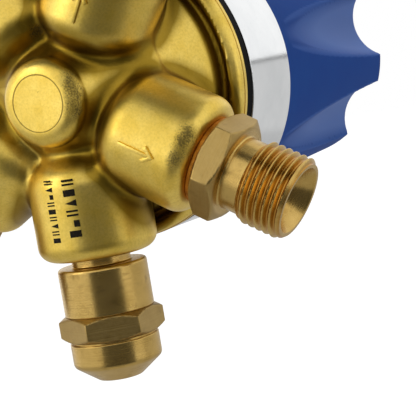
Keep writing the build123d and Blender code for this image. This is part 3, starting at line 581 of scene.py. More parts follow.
def eased(node, width, angle=32):
    """Copy of a solid whose sharp edges are broken by a small bevel."""
    piece = add_object(node + "_eased", NODES[node].data.copy())
    with reshaping(piece.data) as work:
        bmesh.ops.remove_doubles(work, verts=work.verts, dist=2e-6)
        bmesh.ops.dissolve_limit(work, angle_limit=math.radians(0.6), verts=work.verts, edges=work.edges)
        steep = [e for e in work.edges if e.is_manifold and e.calc_face_angle(0) > math.radians(angle)]
        bmesh.ops.bevel(
            work, geom=steep, offset=width * MM, segments=2, profile=0.5, affect="EDGES", clamp_overlap=True
        )
    smooth(piece.data)
    return piece


def settle(piece, look, *nodes, shows=None):
    """Gives a piece its finish, and puts it on the body of the CAD nodes that it stands for."""
    piece.data.materials.clear()
    piece.data.materials.append(finish(look))
    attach(piece, NODES[(nodes or (shows,))[0]]["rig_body"])
    if nodes:
        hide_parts(*nodes)
    return piece


def soft_least(a, b, width):
    """Smaller of two values, rounded off over a width where they cross."""
    near = np.maximum(width - np.abs(a - b), 0) / width
    return np.minimum(a, b) - near * near * width / 4


def hexagon(turn, across, turned_by, rounding=0.25):
    """Radius of a hexagon with rounded corners at each angle. A flat faces the angle that it is turned by."""
    off_corner = np.abs((turn - math.radians(turned_by)) % (math.pi / 3) - math.pi / 6)
    flat = across / 2 / np.cos(math.pi / 6 - off_corner)
    centre = (across / 2 - rounding) / math.cos(math.pi / 6)
    reach = math.atan2(rounding / 2, centre + rounding * math.cos(math.pi / 6))
    bow = np.sqrt(np.maximum(rounding**2 - (centre * np.sin(off_corner)) ** 2, 0))
    return np.where(off_corner < reach, centre * np.cos(off_corner) + bow, flat)


def hexagon_turns(turned_by):
    """Angles round a hexagon, closer together at its corners."""
    plain = np.arange(0, 360, 2.0)
    beside = (-1.3, -0.8, -0.45, -0.15, 0.15, 0.45, 0.8, 1.3)
    extra = [turned_by + 30 + 60 * corner + off for corner in range(6) for off in beside]
    return np.radians(np.unique(np.round(np.concatenate((plain, np.mod(extra, 360))), 3)))


def hexagon_rows(turn, across, start, end, turned_by, steps=7):
    """Rows up a hexagon whose corners are turned off at both ends."""
    corner = across / math.sqrt(3) + 0.2
    face = across * 0.485
    drop = (corner - face) * math.tan(math.radians(30))
    sides = hexagon(turn, across, turned_by)
    rows = []
    for part in np.linspace(0, 1, steps):
        radius = soft_least(sides, np.full_like(turn, face + (corner - face) * part), 0.12)
        rows.append((radius, start + drop * part, {"milled": 1.0}))
    return rows + [(radius, start + end - station, layers) for radius, station, layers in reversed(rows)]


def stem_rows(bore):
    """Rows up the stem that screws into a boss, from its bore to the hexagon."""
    stem_r, lead = 6.45, 0.6
    return rounded([
        (bore, STEM_START), (stem_r - lead, STEM_START), (stem_r, STEM_START + lead),
        (stem_r, HEXAGON_STATION),
    ])


def thread_rows(turn, outer, start, end, pitch, core):
    """Rows up a real helical thread, with its first turns cut back to the core at both ends.

    fall grows from 0 on the crest to 1 in the root, with the crest's corners rounded off."""
    rows = []
    flat, rounding, full_depth = 0.14, 0.35, 0.6134 * pitch
    for station in np.arange(start, end + 1e-6, pitch / 36):
        phase = np.mod(station / pitch - turn / (2 * np.pi), 1)
        fall = (np.abs(2 * phase - 1) - flat) / 0.72
        eased_fall = (fall + rounding) ** 2 / (4 * rounding)
        fall = np.where(np.abs(fall) < rounding, eased_fall, np.clip(fall, 0, 1))
        depth = (1 - (1 - fall) ** 1.4) * full_depth
        ends = np.full_like(turn, core + min(station - start, end - station) + 0.05)
        radius = np.maximum(soft_least(outer - depth, ends, 0.1), core)
        # The groove layer is painted shade, deepest in the thread's root.
        rows.append((radius, float(station), {"groove": (outer - radius) / (outer - core)}))
    return rows


def scale_tree():
    """Node tree that sets blocks along an arc, as for the marks of a dial."""
    tree = bpy.data.node_groups.new("marks_on_arc", "GeometryNodeTree")
    tree.is_modifier = True
    sockets = (
        ("Count", "NodeSocketInt"), ("Radius", "NodeSocketFloat"), ("Start", "NodeSocketFloat"),
        ("Sweep", "NodeSocketFloat"), ("Size", "NodeSocketVector"), ("Height", "NodeSocketFloat"),
        ("Finish", "NodeSocketMaterial"),
    )
    for name, kind in sockets:
        tree.interface.new_socket(name=name, in_out="INPUT", socket_type=kind)
    tree.interface.new_socket(name="Geometry", in_out="OUTPUT", socket_type="NodeSocketGeometry")

    def add(kind, links=None, **values):
        made = tree.nodes.new(kind)
        for key, value in values.items():
            setattr(made, key, value)
        for key, source in (links or {}).items():
            if isinstance(source, bpy.types.NodeSocket):
                tree.links.new(source, made.inputs[key])
            else:
                made.inputs[key].default_value = source
        return made.outputs[0] if made.outputs else made

    def sum_up(operation, first, second=0.0):
        return add("ShaderNodeMath", {0: first, 1: second}, operation=operation)

    given = tree.nodes.new("NodeGroupInput").outputs
    index = add("GeometryNodeInputIndex")
    share = sum_up("DIVIDE", index, sum_up("SUBTRACT", given["Count"], 1.0))
    angle = sum_up("SUBTRACT", given["Start"], sum_up("MULTIPLY", share, given["Sweep"]))
    sine = sum_up("SINE", sum_up("MULTIPLY", angle, -1.0))
    x = sum_up("MULTIPLY", sine, given["Radius"])
    y = sum_up("MULTIPLY", sum_up("COSINE", angle), given["Radius"])
    spot = add("ShaderNodeCombineXYZ", {"X": x, "Y": y, "Z": given["Height"]})
    turn = add("ShaderNodeCombineXYZ", {"Z": angle})
    points = add("GeometryNodePoints", {"Count": given["Count"], "Position": spot})
    block = add("GeometryNodeMeshCube", {"Size": given["Size"]})
    laid = add("GeometryNodeInstanceOnPoints", {"Points": points, "Instance": block, "Rotation": turn})
    real = add("GeometryNodeRealizeInstances", {"Geometry": laid})
    painted = add("GeometryNodeSetMaterial", {"Geometry": real, "Material": given["Finish"]})
    add("NodeGroupOutput", {"Geometry": painted})
    return tree


def marks(name, look, **values):
    """Plain mesh of blocks along an arc, from the node tree."""
    tree = bpy.data.node_groups.get("marks_on_arc") or scale_tree()
    carrier = mesh_piece(name + "_carrier", [], [], Matrix())
    modifier = carrier.modifiers.new("marks", "NODES")
    modifier.node_group = tree
    values["Finish"] = finish(look)
    for item in tree.interface.items_tree:
        if item.in_out == "INPUT":
            modifier[item.identifier] = values[item.name]
    return add_object(name, plain_mesh(carrier))


def joined(name, pieces):
    """One object from several meshes."""
    mesh = bpy.data.meshes.new(name)
    with reshaping(mesh) as work:
        for piece in pieces:
            work.from_mesh(piece.data)
    for piece in pieces:
        bpy.data.objects.remove(piece)
    return add_object(name, mesh)


def plate(name, outline, low, high, bevel=0.0):
    """Flat block from an outline in X and Y, between two heights, with its upper edge bevelled."""
    mesh = bpy.data.meshes.new(name)
    with reshaping(mesh) as work:
        base = work.faces.new([work.verts.new((x, y, low)) for x, y in outline])
        grown = bmesh.ops.extrude_face_region(work, geom=[base])["geom"]
        top = [g for g in grown if isinstance(g, bmesh.types.BMVert)]
        bmesh.ops.translate(work, verts=top, vec=(0, 0, high - low))
        if bevel:
            edges = {e for v in top for e in v.link_edges if all(w in top for w in e.verts)}
            bmesh.ops.bevel(work, geom=list(edges), offset=bevel, segments=2, profile=0.6, affect="EDGES")
        bmesh.ops.recalc_face_normals(work, faces=work.faces)
        bmesh.ops.triangulate(work, faces=[f for f in work.faces if len(f.verts) > 4])
    return add_object(name, mesh)


def wrap_on_boss(piece, angle, facing, along):
    """Bends a flat piece round a boss. Its X runs round, Y outward and Z off the surface.

    facing is the angle round the boss, and along the distance from the main axis."""
    with reshaping(piece.data) as work:
        longest = [e for e in work.edges if abs(e.verts[0].co.x - e.verts[1].co.x) > 0.8]
        if longest:
            bmesh.ops.subdivide_edges(work, edges=longest, cuts=4)
            bmesh.ops.triangulate(work, faces=[f for f in work.faces if len(f.verts) > 4])
        for v in work.verts:
            turn = math.radians(facing) + v.co.x / BOSS_R
            out = BOSS_R + v.co.z
            v.co = (out * math.cos(turn), out * math.sin(turn), along + v.co.y)
    piece.data.transform(on_boss(angle))
    return piece


# The forged body as one smooth distance field. Its table starts at this station, in millimetres.

TABLE_START = -20


def dome_profile():
    """Back of the forging as (radius, station) points, from the hub's top out to the rim and back inside."""
    hub_r, corner = 8.6, 3.2
    hub = [
        (hub_r - corner + corner * math.sin(t), HUB_TOP + corner - corner * math.cos(t))
        for t in np.linspace(0, math.pi / 2, 9)
    ]
    knots = [
        hub[-1], (11.4, -5.6), (15.5, -3.4), (18.9, 0.6), (19.7, 3.0), (22.5, 6.4), (25.0, 9.7), (25.9, 12.2),
        (26.9, 12.3), (28.0, 11.2), (29.6, 12.3), (RIM_R, RIM_STATION),
    ]
    flank = []
    for index in range(len(knots) - 1):
        p1, p2 = Vector(knots[index]), Vector(knots[index + 1])
        p0 = Vector(knots[index - 1]) if index else p1 - Vector((0.0, 2.0))
        p3 = Vector(knots[index + 2]) if index + 2 < len(knots) else p2 + Vector((0.0, 1.0))
        for t in np.linspace(0, 1, 12, endpoint=False):
            a = 2 * p1 + (p2 - p0) * t + (2 * p0 - 5 * p1 + 4 * p2 - p3) * t * t
            b = (3 * p1 - p0 - 3 * p2 + p3) * t * t * t
            flank.append(tuple((a + b) / 2))
    inside = [(RIM_R, RIM_STATION), (SPIGOT_R, RIM_STATION), (SPIGOT_R, 22.0), (0.0, 22.0)]
    return [(0.0, HUB_TOP)] + hub + flank[1:] + inside


def dome_table(step=0.1):
    """Signed distance from the turned dome on a grid of radius and station."""
    profile = np.array(dome_profile())
    r, s = np.meshgrid(np.arange(0, 40, step), np.arange(TABLE_START, 30, step), indexing="ij")
    least = np.full(r.shape, 1e9)
    inside = np.zeros(r.shape, bool)
    for (r0, s0), (r1, s1) in zip(profile[:-1], profile[1:]):
        dr, ds = r1 - r0, s1 - s0
        t = np.clip(((r - r0) * dr + (s - s0) * ds) / max(dr * dr + ds * ds, 1e-12), 0, 1)
        least = np.minimum(least, np.hypot(r - r0 - t * dr, s - s0 - t * ds))
        crosses = (s0 > s) != (s1 > s)
        at = r0 + (s - s0) * dr / (ds if abs(ds) > 1e-12 else 1e-12)
        inside ^= crosses & (r < at)
    return np.where(inside, -least, least), step


class Forging:
    """Signed distance of the machined forging, in millimetres, with a blend wherever two forms meet."""

    def __init__(self, blend):
        self.blend = blend
        self.table, self.step = dome_table()
        self.feeds = (RELIEF, OUTLET, FLOW)
        # Each bore's boss, or None for the main axis, its radius, and where it starts and ends
        self.bores = [(None, 21.0, 15.0, 23.0), (None, 6.0, -6.0, 7.0), (None, 8.0, 7.0, 16.0)]
        self.bores += [(angle, 5.75 if angle == RELIEF else 6.5, 20.5, 32.0) for angle in BOSSES]
        self.bores += [(angle, CHANNEL_R, 5.0, 21.5) for angle in (CONTENTS, INLET)]
        self.bores += [(angle, CHANNEL_R, CHANNEL_OFF, 21.5) for angle in self.feeds]

    def dome(self, points):
        """Distance of the turned dome, read from its table."""
        r = np.hypot(points[:, 0], points[:, 2]) / self.step
        s = (-points[:, 1] - TABLE_START) / self.step
        i = np.clip(r.astype(int), 0, self.table.shape[0] - 2)
        j = np.clip(s.astype(int), 0, self.table.shape[1] - 2)
        u, v = r - i, s - j
        low = self.table[i, j] * (1 - u) + self.table[i + 1, j] * u
        high = self.table[i, j + 1] * (1 - u) + self.table[i + 1, j + 1] * u
        return low * (1 - v) + high * v

    @staticmethod
    def about(points, angle):
        """(distance from the axis, station) about the main axis or a boss."""
        if angle is None:
            return np.hypot(points[:, 0], points[:, 2]), -points[:, 1]
        turn = math.radians(angle)
        along = -points[:, 0] * math.sin(turn) - points[:, 2] * math.cos(turn)
        return np.sqrt(np.maximum((points**2).sum(1) - along**2, 0)), along

    def boss(self, points, angle):
        """Distance of a round boss that starts as a cone and ends in a rounded edge."""
        rounding, cone_slope = 3.0, 1.2
        off, along = self.about(points, angle)
        cone = ((off - 6.2) - cone_slope * (along - 9.6)) / math.hypot(1.0, cone_slope)
        side = -soft_least(BOSS_R - off, -cone, 2.0) + rounding
        end = along - BOSS_STATION + rounding
        corner = np.hypot(np.maximum(side, 0), np.maximum(end, 0))
        return np.minimum(np.maximum(side, end), 0) + corner - rounding

    def outside(self, points):
        """Distance of the rough forging, before its bores."""
        total = self.dome(points)
        for angle in BOSSES:
            total = soft_least(total, self.boss(points, angle), self.blend)
        return total

    def slope(self, points):
        """Direction and steepness in which the distance grows."""
        slope = np.empty_like(points)
        for k, shift in enumerate(np.eye(3) * 0.02):
            slope[:, k] = (self.distance(points + shift) - self.distance(points - shift)) / 0.04
        return slope

    def shade(self, points):
        """How closed in each point is, from 0 in the open to 1 deep in a recess. The finish paints this as
        shade.
        """
        way = self.slope(points)
        way /= np.maximum(np.linalg.norm(way, axis=1), 1e-9)[:, None]
        closed = np.zeros(len(points))
        for reach, weight in ((0.7, 0.30), (1.5, 0.26), (3.0, 0.22), (5.0, 0.22)):
            closed += weight * np.clip(1 - self.outside(points + way * reach) / reach, 0, 1)
        return np.clip(closed * 1.6, 0, 1)

    def distance(self, points):
        """Distance of the forging with its bores and feed channels."""
        total = self.outside(points)
        for angle, radius, start, end in self.bores:
            off, along = self.about(points, angle)
            cut = np.maximum(off - radius, np.abs(along - (start + end) / 2) - (end - start) / 2)
            total = np.maximum(total, -cut)
        for angle in self.feeds:
            turn = math.radians(angle)
            x, z = CHANNEL_OFF * math.sin(turn), CHANNEL_OFF * math.cos(turn)
            off = np.hypot(points[:, 0] + x, points[:, 2] + z)
            total = np.maximum(total, -np.maximum(off - CHANNEL_R, np.abs(-points[:, 1] - 8.0) - 8.0))
        return total

    def settle(self, points, rounds):
        """Moves points onto the surface along the distance's own slope."""
        for _ in range(rounds):
            here = self.distance(points)
            slope = self.slope(points)
            steep = np.maximum((slope**2).sum(1), 0.2)
            move = -(here / steep)[:, None] * slope
            size = np.maximum(np.linalg.norm(move, axis=1), 1e-9)
            points = points + move * np.minimum(1, 0.5 / size)[:, None]
        return points


def body_skin(blend, voxel):
    """The forging's whole skin: the solid's mesh, remeshed evenly and drawn onto the blended form."""
    rough = add_object("body_rough", NODES["body"].data.copy())
    with reshaping(rough.data) as work:
        bmesh.ops.remove_doubles(work, verts=work.verts, dist=1e-6)
    modifier = rough.modifiers.new("even", "REMESH")
    modifier.mode = "VOXEL"
    modifier.voxel_size = voxel * MM
    mesh = plain_mesh(rough)
    points = np.empty(len(mesh.vertices) * 3)
    mesh.vertices.foreach_get("co", points)
    points = (points.reshape(-1, 3) - np.array(AXIS)) * 1000
    edges = np.empty(len(mesh.edges) * 2, int)
    mesh.edges.foreach_get("vertices", edges)
    edges = edges.reshape(-1, 2)
    degree = np.bincount(edges.ravel(), minlength=len(points))[:, None]
    forging = Forging(blend)
    points = forging.settle(points, 3)
    for _ in range(3):  # each round evens the points out and sets them back on the surface
        total = np.zeros_like(points)
        for k in range(3):
            total[:, k] = np.bincount(edges[:, 0], points[edges[:, 1], k], len(points))
            total[:, k] += np.bincount(edges[:, 1], points[edges[:, 0], k], len(points))
        points = forging.settle(points * 0.5 + 0.5 * total / degree, 2)
    reach = np.hypot(points[:, 0], points[:, 2])
    level = points[:, 1]
    at_face = (level < 0.45 * voxel - RIM_STATION) & (level > -RIM_STATION - 0.2) & (reach > SPIGOT_R + 0.3)
    points[at_face, 1] = -RIM_STATION
    corner = (reach > RIM_R - 0.55 * voxel) & (level < 0.5 - RIM_STATION)
    points[corner, 0::2] *= (RIM_R / reach[corner])[:, None]
    mesh.vertices.foreach_set("co", ((points * MM) + np.array(AXIS)).ravel())
    # This layer is painted shade: the forging's finish darkens wherever it is high.
    add_layer(mesh, "painted_recess_shade", forging.shade(points))
    mesh.update()
    smooth(mesh, 50)
    return add_object("body_skin", mesh)


# Settings that a user would change


class RegulatorLooks(bpy.types.PropertyGroup):
    forged_colour: bpy.props.FloatVectorProperty(
        name="Forged brass", description="Colour of the blasted forging", subtype="COLOR", size=4,
        default=srgb(250, 218, 112),
    )
    forged_shade: bpy.props.FloatVectorProperty(
        name="Forged brass, shaded", description="Darker tone that mottles the forging", subtype="COLOR",
        size=4, default=srgb(236, 200, 86),
    )
    turned_colour: bpy.props.FloatVectorProperty(
        name="Turned brass", description="Colour of the turned fittings", subtype="COLOR", size=4,
        default=srgb(212, 178, 104),
    )
    turned_shade: bpy.props.FloatVectorProperty(
        name="Turned brass, shaded", description="Duller tone that mottles the fittings", subtype="COLOR",
        size=4, default=srgb(192, 158, 86),
    )
    knob_colour: bpy.props.FloatVectorProperty(
        name="Knob", description="Colour of the moulded knob", subtype="COLOR", size=4,
        default=srgb(6, 52, 120),
    )


class RegulatorShapes(bpy.types.PropertyGroup):
    blend: bpy.props.FloatProperty(
        name="Forging blend", description="Width over which the bosses run into the dome, in mm",
        default=2.0, min=0.5,
    )
    grid: bpy.props.FloatProperty(
        name="Forging mesh", description="Side of the forging's mesh faces, in mm", default=0.46, min=0.3
    )
    pitch: bpy.props.FloatProperty(
        name="Outlet thread pitch", description="Pitch of the outlet's thread, in mm", default=1.5, min=0.5
    )
    lobe_edge: bpy.props.FloatProperty(
        name="Lobe edge", description="Width over which the knob's lobe edges are rounded, in mm",
        default=0.6, min=0.1,
    )
    divisions: bpy.props.IntProperty(
        name="Dial divisions", description="Numbered steps on each gauge's dial", default=6, min=2
    )


class Step:
    """What the operators share."""

    bl_options = {"REGISTER", "UNDO"}

    @property
    def shapes(self):
        return bpy.context.scene.regulator_shapes


class REGULATOR_OT_body(Step, bpy.types.Operator):
    """Make the forged body with its raised marks and print"""

    bl_idname = "regulator.body"
    bl_label = "Forged body"

    def arrow(self, name, length, width, height):
        """Raised arrow in strokes, which points outward along its boss."""
        half, stem, tip = width / 2, 0.36, length / 2
        wing, notch = tip - width * 0.62, half - 0.62
        shaft = [(-stem, -tip), (stem, -tip), (stem, tip - 1.2), (-stem, tip - 1.2)]
        head = [
            (0, tip), (-half, wing), (-notch, wing - 0.45), (0, tip - 1.15), (notch, wing - 0.45),
            (half, wing),
        ]
        return joined(name, [plate("stroke", outline, -0.3, height, 0.2) for outline in (shaft, head)])

    def print_row(self, shapes, height, first, pitch):
        """Row of plain blocks, bars and points along the boss."""
        def block(size, low, high):
            return [(0, low), (size, low), (size, high), (0, high)]

        wide = pitch * 0.66
        bar = wide * 0.3
        outlines = {
            "block": [block(height, 0, wide)],
            "bars": [block(height, low, low + bar) for low in (0, wide * 0.6)],
            "point": [[(0, 0), (height, wide / 2), (0, wide)]],
            "half": [block(height / 2, 0, wide)],
        }
        made = []
        for index, shape in enumerate(shapes):
            at = first + index * pitch
            made += [plate("mark", [(x, y + at) for x, y in o], -0.06, 0.03) for o in outlines[shape]]
        return joined("row", made)

    def execute(self, context):
        skin = body_skin(self.shapes.blend, self.shapes.grid)
        settle(skin, "forged_brass", "body")
        # A band just proud of the forging's rim, because the skin's own corner there is a little uneven
        band = [(29.0, 14.42), (30.02, 14.42), (30.02, 13.5), (29.0, 13.5)]
        rim = lathe("body_rim", band, on_main_axis(), 288)
        settle(rim, "forged_brass", shows="body")
        for name, angle, facing, along, length in (
            ("outlet_arrow", OUTLET, 93, 21.2, 7.6), ("flow_arrow", FLOW, 98, 19.6, 6.4),
            ("inlet_arrow", INLET, 90, 21.0, 6.4),
        ):
            arrow = wrap_on_boss(self.arrow(name, length, 3.4, 0.5), angle, facing, along)
            smooth(arrow.data, 30)
            settle(arrow, "forged_brass", shows="body")
        small_row = ("bars", "point", "half", "bars", "block", "bars", "point", "bars", "block")
        large_row = ("bars", "block", "point", "bars", "half", "block")
        for name, shapes, height, first, pitch, facing in (
            ("print_row_small", small_row, 1.7, 14.36, 1.36, 94.5),
            ("print_row_large", large_row, 2.3, 14.6, 1.92, 72.0),
        ):
            row = wrap_on_boss(self.print_row(shapes, height, first, pitch), RELIEF, facing, 0.0)
            row.name = name
            settle(row, "print_ink", shows="body")
        return {"FINISHED"}


class REGULATOR_OT_bonnet(Step, bpy.types.Operator):
    """Make the black seam ring, which stands in for a dark reflection in the plating's rear edge, and the
    plated bonnet
    """

    bl_idname = "regulator.bonnet"
    bl_label = "Seam ring and bonnet"

    def execute(self, context):
        turn = full_turn(288)
        inside = SPIGOT_R + 0.05
        # Painted reflection: this black ring fills the band where the plating's rear chamfer shows a dark
        # reflection.
        seam = rounded([
            (inside, RIM_STATION), (29.75, RIM_STATION, 0.8), (29.75, SEAM_STATION, 0.3),
            (inside, SEAM_STATION),
        ])
        settle(lathe("seam_ring_turned", seam, on_main_axis(), turn), "black_rubber", "seam_ring")
        rows = rounded([
            (inside, SEAM_STATION), (29.82, SEAM_STATION, 0.05), (29.96, 17.55, 0.05), (29.96, 35.5, 0.3),
            (29.1, 36.3, 0.3), (17.0, 36.3, 0.8), (17.0, 81.0, 0.8), (5.06, 81.0, 0.2), (5.06, 76.0),
        ])
        across = 14.3 / np.maximum(np.abs(np.cos(turn)), 1e-6)
        beside = 2.3 / np.maximum(np.abs(np.sin(turn)), 1e-6)
        bore = 12.5
        keyed = np.maximum(bore, np.minimum(across, beside))  # a slot each side guides the spring nut
        rows += [(keyed, 76.0), (keyed, 49.5), (bore, 49.5), (bore, 36.3)]
        rows += [(20.0, 29.4), (20.0, 24.4), (inside, 24.4)]
        settle(lathe("bonnet_turned", rows, on_main_axis(), turn), "chrome_plate", "bonnet")
        return {"FINISHED"}


class REGULATOR_OT_knob(Step, bpy.types.Operator):
    """Make the scalloped knob and its cap"""

    bl_idname = "regulator.knob"
    bl_label = "Knob"

    def edge_and_highlight_layers(self, rows, turn):
        """The rows with how near each point is to a lobe's edge, and how deep in a scallop, which the finish
        paints as a highlight.
        """
        found = []
        for radius, station in rows:
            ring = np.broadcast_to(radius, len(turn)).astype(float)
            bend = np.abs(np.roll(ring, 1) + np.roll(ring, -1) - 2 * ring)
            outer = (ring > 18) * (station > 45)
            edge = np.clip(bend / 0.02, 0, 1)
            grip = np.clip((ring.max() - ring) / 2.5, 0, 1)
            found.append((radius, station, {"edge": edge * outer, "grip": grip * outer}))
        return found

    def execute(self, context):
        rear, front, lobes, edge = KNOB_REAR, KNOB_FRONT, 7, 1.2
        rear_r, front_r, scallop_r, scallop_from, scallop_depth = 27.6, 25.0, 9.5, 45.0, 5.2
        turn = full_turn(lobes * 72)
        off = np.radians((np.degrees(turn) + 11.1) % (360 / lobes) - 180 / lobes)

        def side(station):
            """Radius round the knob: a taper with a round scallop cut into it between the lobes."""
            full = rear_r + (front_r - rear_r) * (station - rear - edge) / (front - rear - 2 * edge)
            along = (station - scallop_from) / (front - scallop_from)
            depth = scallop_depth * (1 - (1 - along) ** 1.25) if along > 0 else 14.0 * along
            centre = full - depth + scallop_r
            reach = scallop_r**2 - (centre * np.sin(off)) ** 2
            cut = np.where(reach > 0, centre * np.cos(off) - np.sqrt(np.maximum(reach, 0)), 99.0)
            return soft_least(np.full_like(turn, full), cut, self.shapes.lobe_edge)

        rows = []
        for t in np.linspace(0, math.pi / 2, 6):
            rows.append((side(rear + edge) - edge * (1 - math.sin(t)), rear + edge * (1 - math.cos(t))))
        for station in np.linspace(rear + edge, front - edge, 74)[1:-1]:
            rows.append((side(station), station))
        for t in np.linspace(0, math.pi / 2, 7):
            rows.append((side(front - edge) - edge * (1 - math.cos(t)), front - edge * (1 - math.sin(t))))
        square = 4.1 / np.maximum(np.abs(np.cos(turn)), np.abs(np.sin(turn)))
        rows += rounded([(14.7, front), (14.06, front, 0.2), (14.06, 101.0), (4.2, 101.0), (4.2, 95.5)])
        rows += [(square, 95.5), (square, 86.0), (17.5, 86.0), (19.5, 84.0), (19.5, 37.8), (20.0, rear)]
        knob = lathe("knob_moulded", self.edge_and_highlight_layers(rows, turn), on_main_axis(), turn)
        settle(knob, "blue_plastic", "knob")
        cap = rounded([(0, 101), (14.0, 101, 0.2), (14.0, 104.2, 0.5), (11.0, 104.7, 2.0), (0, 104.9)])
        settle(lathe("knob_cap_moulded", cap, on_main_axis(), 144), "blue_plastic", "knob_cap")
        return {"FINISHED"}


class REGULATOR_OT_outlet(Step, bpy.types.Operator):
    """Make the outlet nipple with its thread, and the copper washers"""

    bl_idname = "regulator.outlet"
    bl_label = "Outlet"

    def execute(self, context):
        turned_by = 8.0
        turn = hexagon_turns(turned_by)
        rows = stem_rows(3.45)
        rows += hexagon_rows(turn, 18.0, HEXAGON_STATION, 36.6, turned_by)
        rows += rounded([(8.0, 36.6), (7.0, 36.6, 0.35), (7.0, 40.3)])
        rows += thread_rows(turn, 8.0, 40.3, 49.6, self.shapes.pitch, 7.05)
        rows += rounded([(7.0, 49.6), (6.4, 49.6, 0.15), (6.3, 49.4)])
        # Painted shade in the bore's mouth, darker further in.
        rows += [(2.75 + 3.65 * t, 43.3 + 6.3 * t, {"groove": 1 - t}) for t in (0.9, 0.6, 0.3, 0.0)]
        rows += [(2.75, 24.0, {"groove": 1.0}), (3.45, 24.0)]
        settle(lathe("outlet_nipple_turned", rows, on_boss(OUTLET), turn), "turned_brass", "outlet_nipple")
        for node, angle in (
            ("outlet_washer", OUTLET), ("inlet_washer", INLET), ("contents_washer", CONTENTS),
            ("flow_washer", FLOW),
        ):
            ring = rounded([
                (6.5, BOSS_STATION), (8.4, BOSS_STATION, 0.3), (8.4, HEXAGON_STATION, 0.3),
                (6.5, HEXAGON_STATION),
            ])
            settle(lathe(node + "_pressed", ring, on_boss(angle), 96), "copper", node)
        return {"FINISHED"}


class REGULATOR_OT_relief(Step, bpy.types.Operator):
    """Make the relief valve's body and cap"""

    bl_idname = "regulator.relief"
    bl_label = "Relief valve"

    def execute(self, context):
        turned_by = 59.0
        turn = hexagon_turns(turned_by)
        rows = rounded([
            (1.5, STEM_START), (5.7, STEM_START), (5.7, 32.2, 0.3), (8.65, 32.2, 0.6), (8.65, 41.4, 0.25),
            (8.15, 41.4),
        ])
        rows += hexagon_rows(turn, 17.6, 41.4, 46.3, turned_by)
        rows += [(8.1, 46.3), (7.05, 46.3), (7.05, 42.8), (5.6, 42.8)]
        rows += [(5.6, 34.0), (2.9, 34.0), (2.1, 35.0), (1.5, 35.0)]
        settle(lathe("relief_body_turned", rows, on_boss(RELIEF), turn), "turned_brass", "relief_body")
        cap = rounded([
            (5.6, 42.8), (7.0, 42.8), (7.0, 46.3), (8.1, 46.3), (8.1, 46.7), (8.6, 46.7, 0.2),
            (8.6, 51.2, 1.2), (4.3, 54.4, 0.8), (1.2, 54.6), (1.2, 49.7), (5.6, 49.7),
        ])
        settle(lathe("relief_cap_turned", cap, on_boss(RELIEF), 144), "turned_brass", "relief_cap")
        return {"FINISHED"}


class REGULATOR_OT_inlet(Step, bpy.types.Operator):
    """Make the inlet stem and its union nut"""

    bl_idname = "regulator.inlet"
    bl_label = "Inlet"

    def execute(self, context):
        turned_by = 30.0
        turn = hexagon_turns(turned_by)
        rows = stem_rows(2.5)
        rows += hexagon_rows(turn, 19.0, HEXAGON_STATION, 37.5, turned_by)
        rows += rounded([
            (8.0, 37.5), (7.0, 37.5, 0.4), (7.0, 56.0), (9.4, 56.0, 0.3), (9.4, 59.0, 0.3), (4.05, 59.0)
        ])
        rows += [(4.05, 47.0), (2.5, 47.0)]
        settle(lathe("inlet_stem_turned", rows, on_boss(INLET), turn), "turned_brass", "inlet_stem")
        rows = rounded([(7.06, 48.0), (12.0, 48.0, 0.6), (14.0, 51.0, 0.4), (14.0, 52.0)])
        rows += hexagon_rows(turn, 30.0, 52.0, 67.0, turned_by)
        rows += rounded([(14.0, 67.0), (14.0, 69.4, 0.3), (13.4, 70.0, 0.3), (10.3, 70.0)])
        pitch = 1.8
        for station in np.arange(69.8, 61.0, -0.15):
            phase = np.mod(station / pitch - turn / (2 * np.pi), 1)
            rows.append((np.where(phase < 0.5, 10.0, 10.45), float(station)))
        rows += [(10.5, 60.5), (10.5, 55.6), (7.06, 55.6)]
        settle(lathe("inlet_nut_turned", rows, on_boss(INLET), turn), "turned_brass", "inlet_nut")
        return {"FINISHED"}


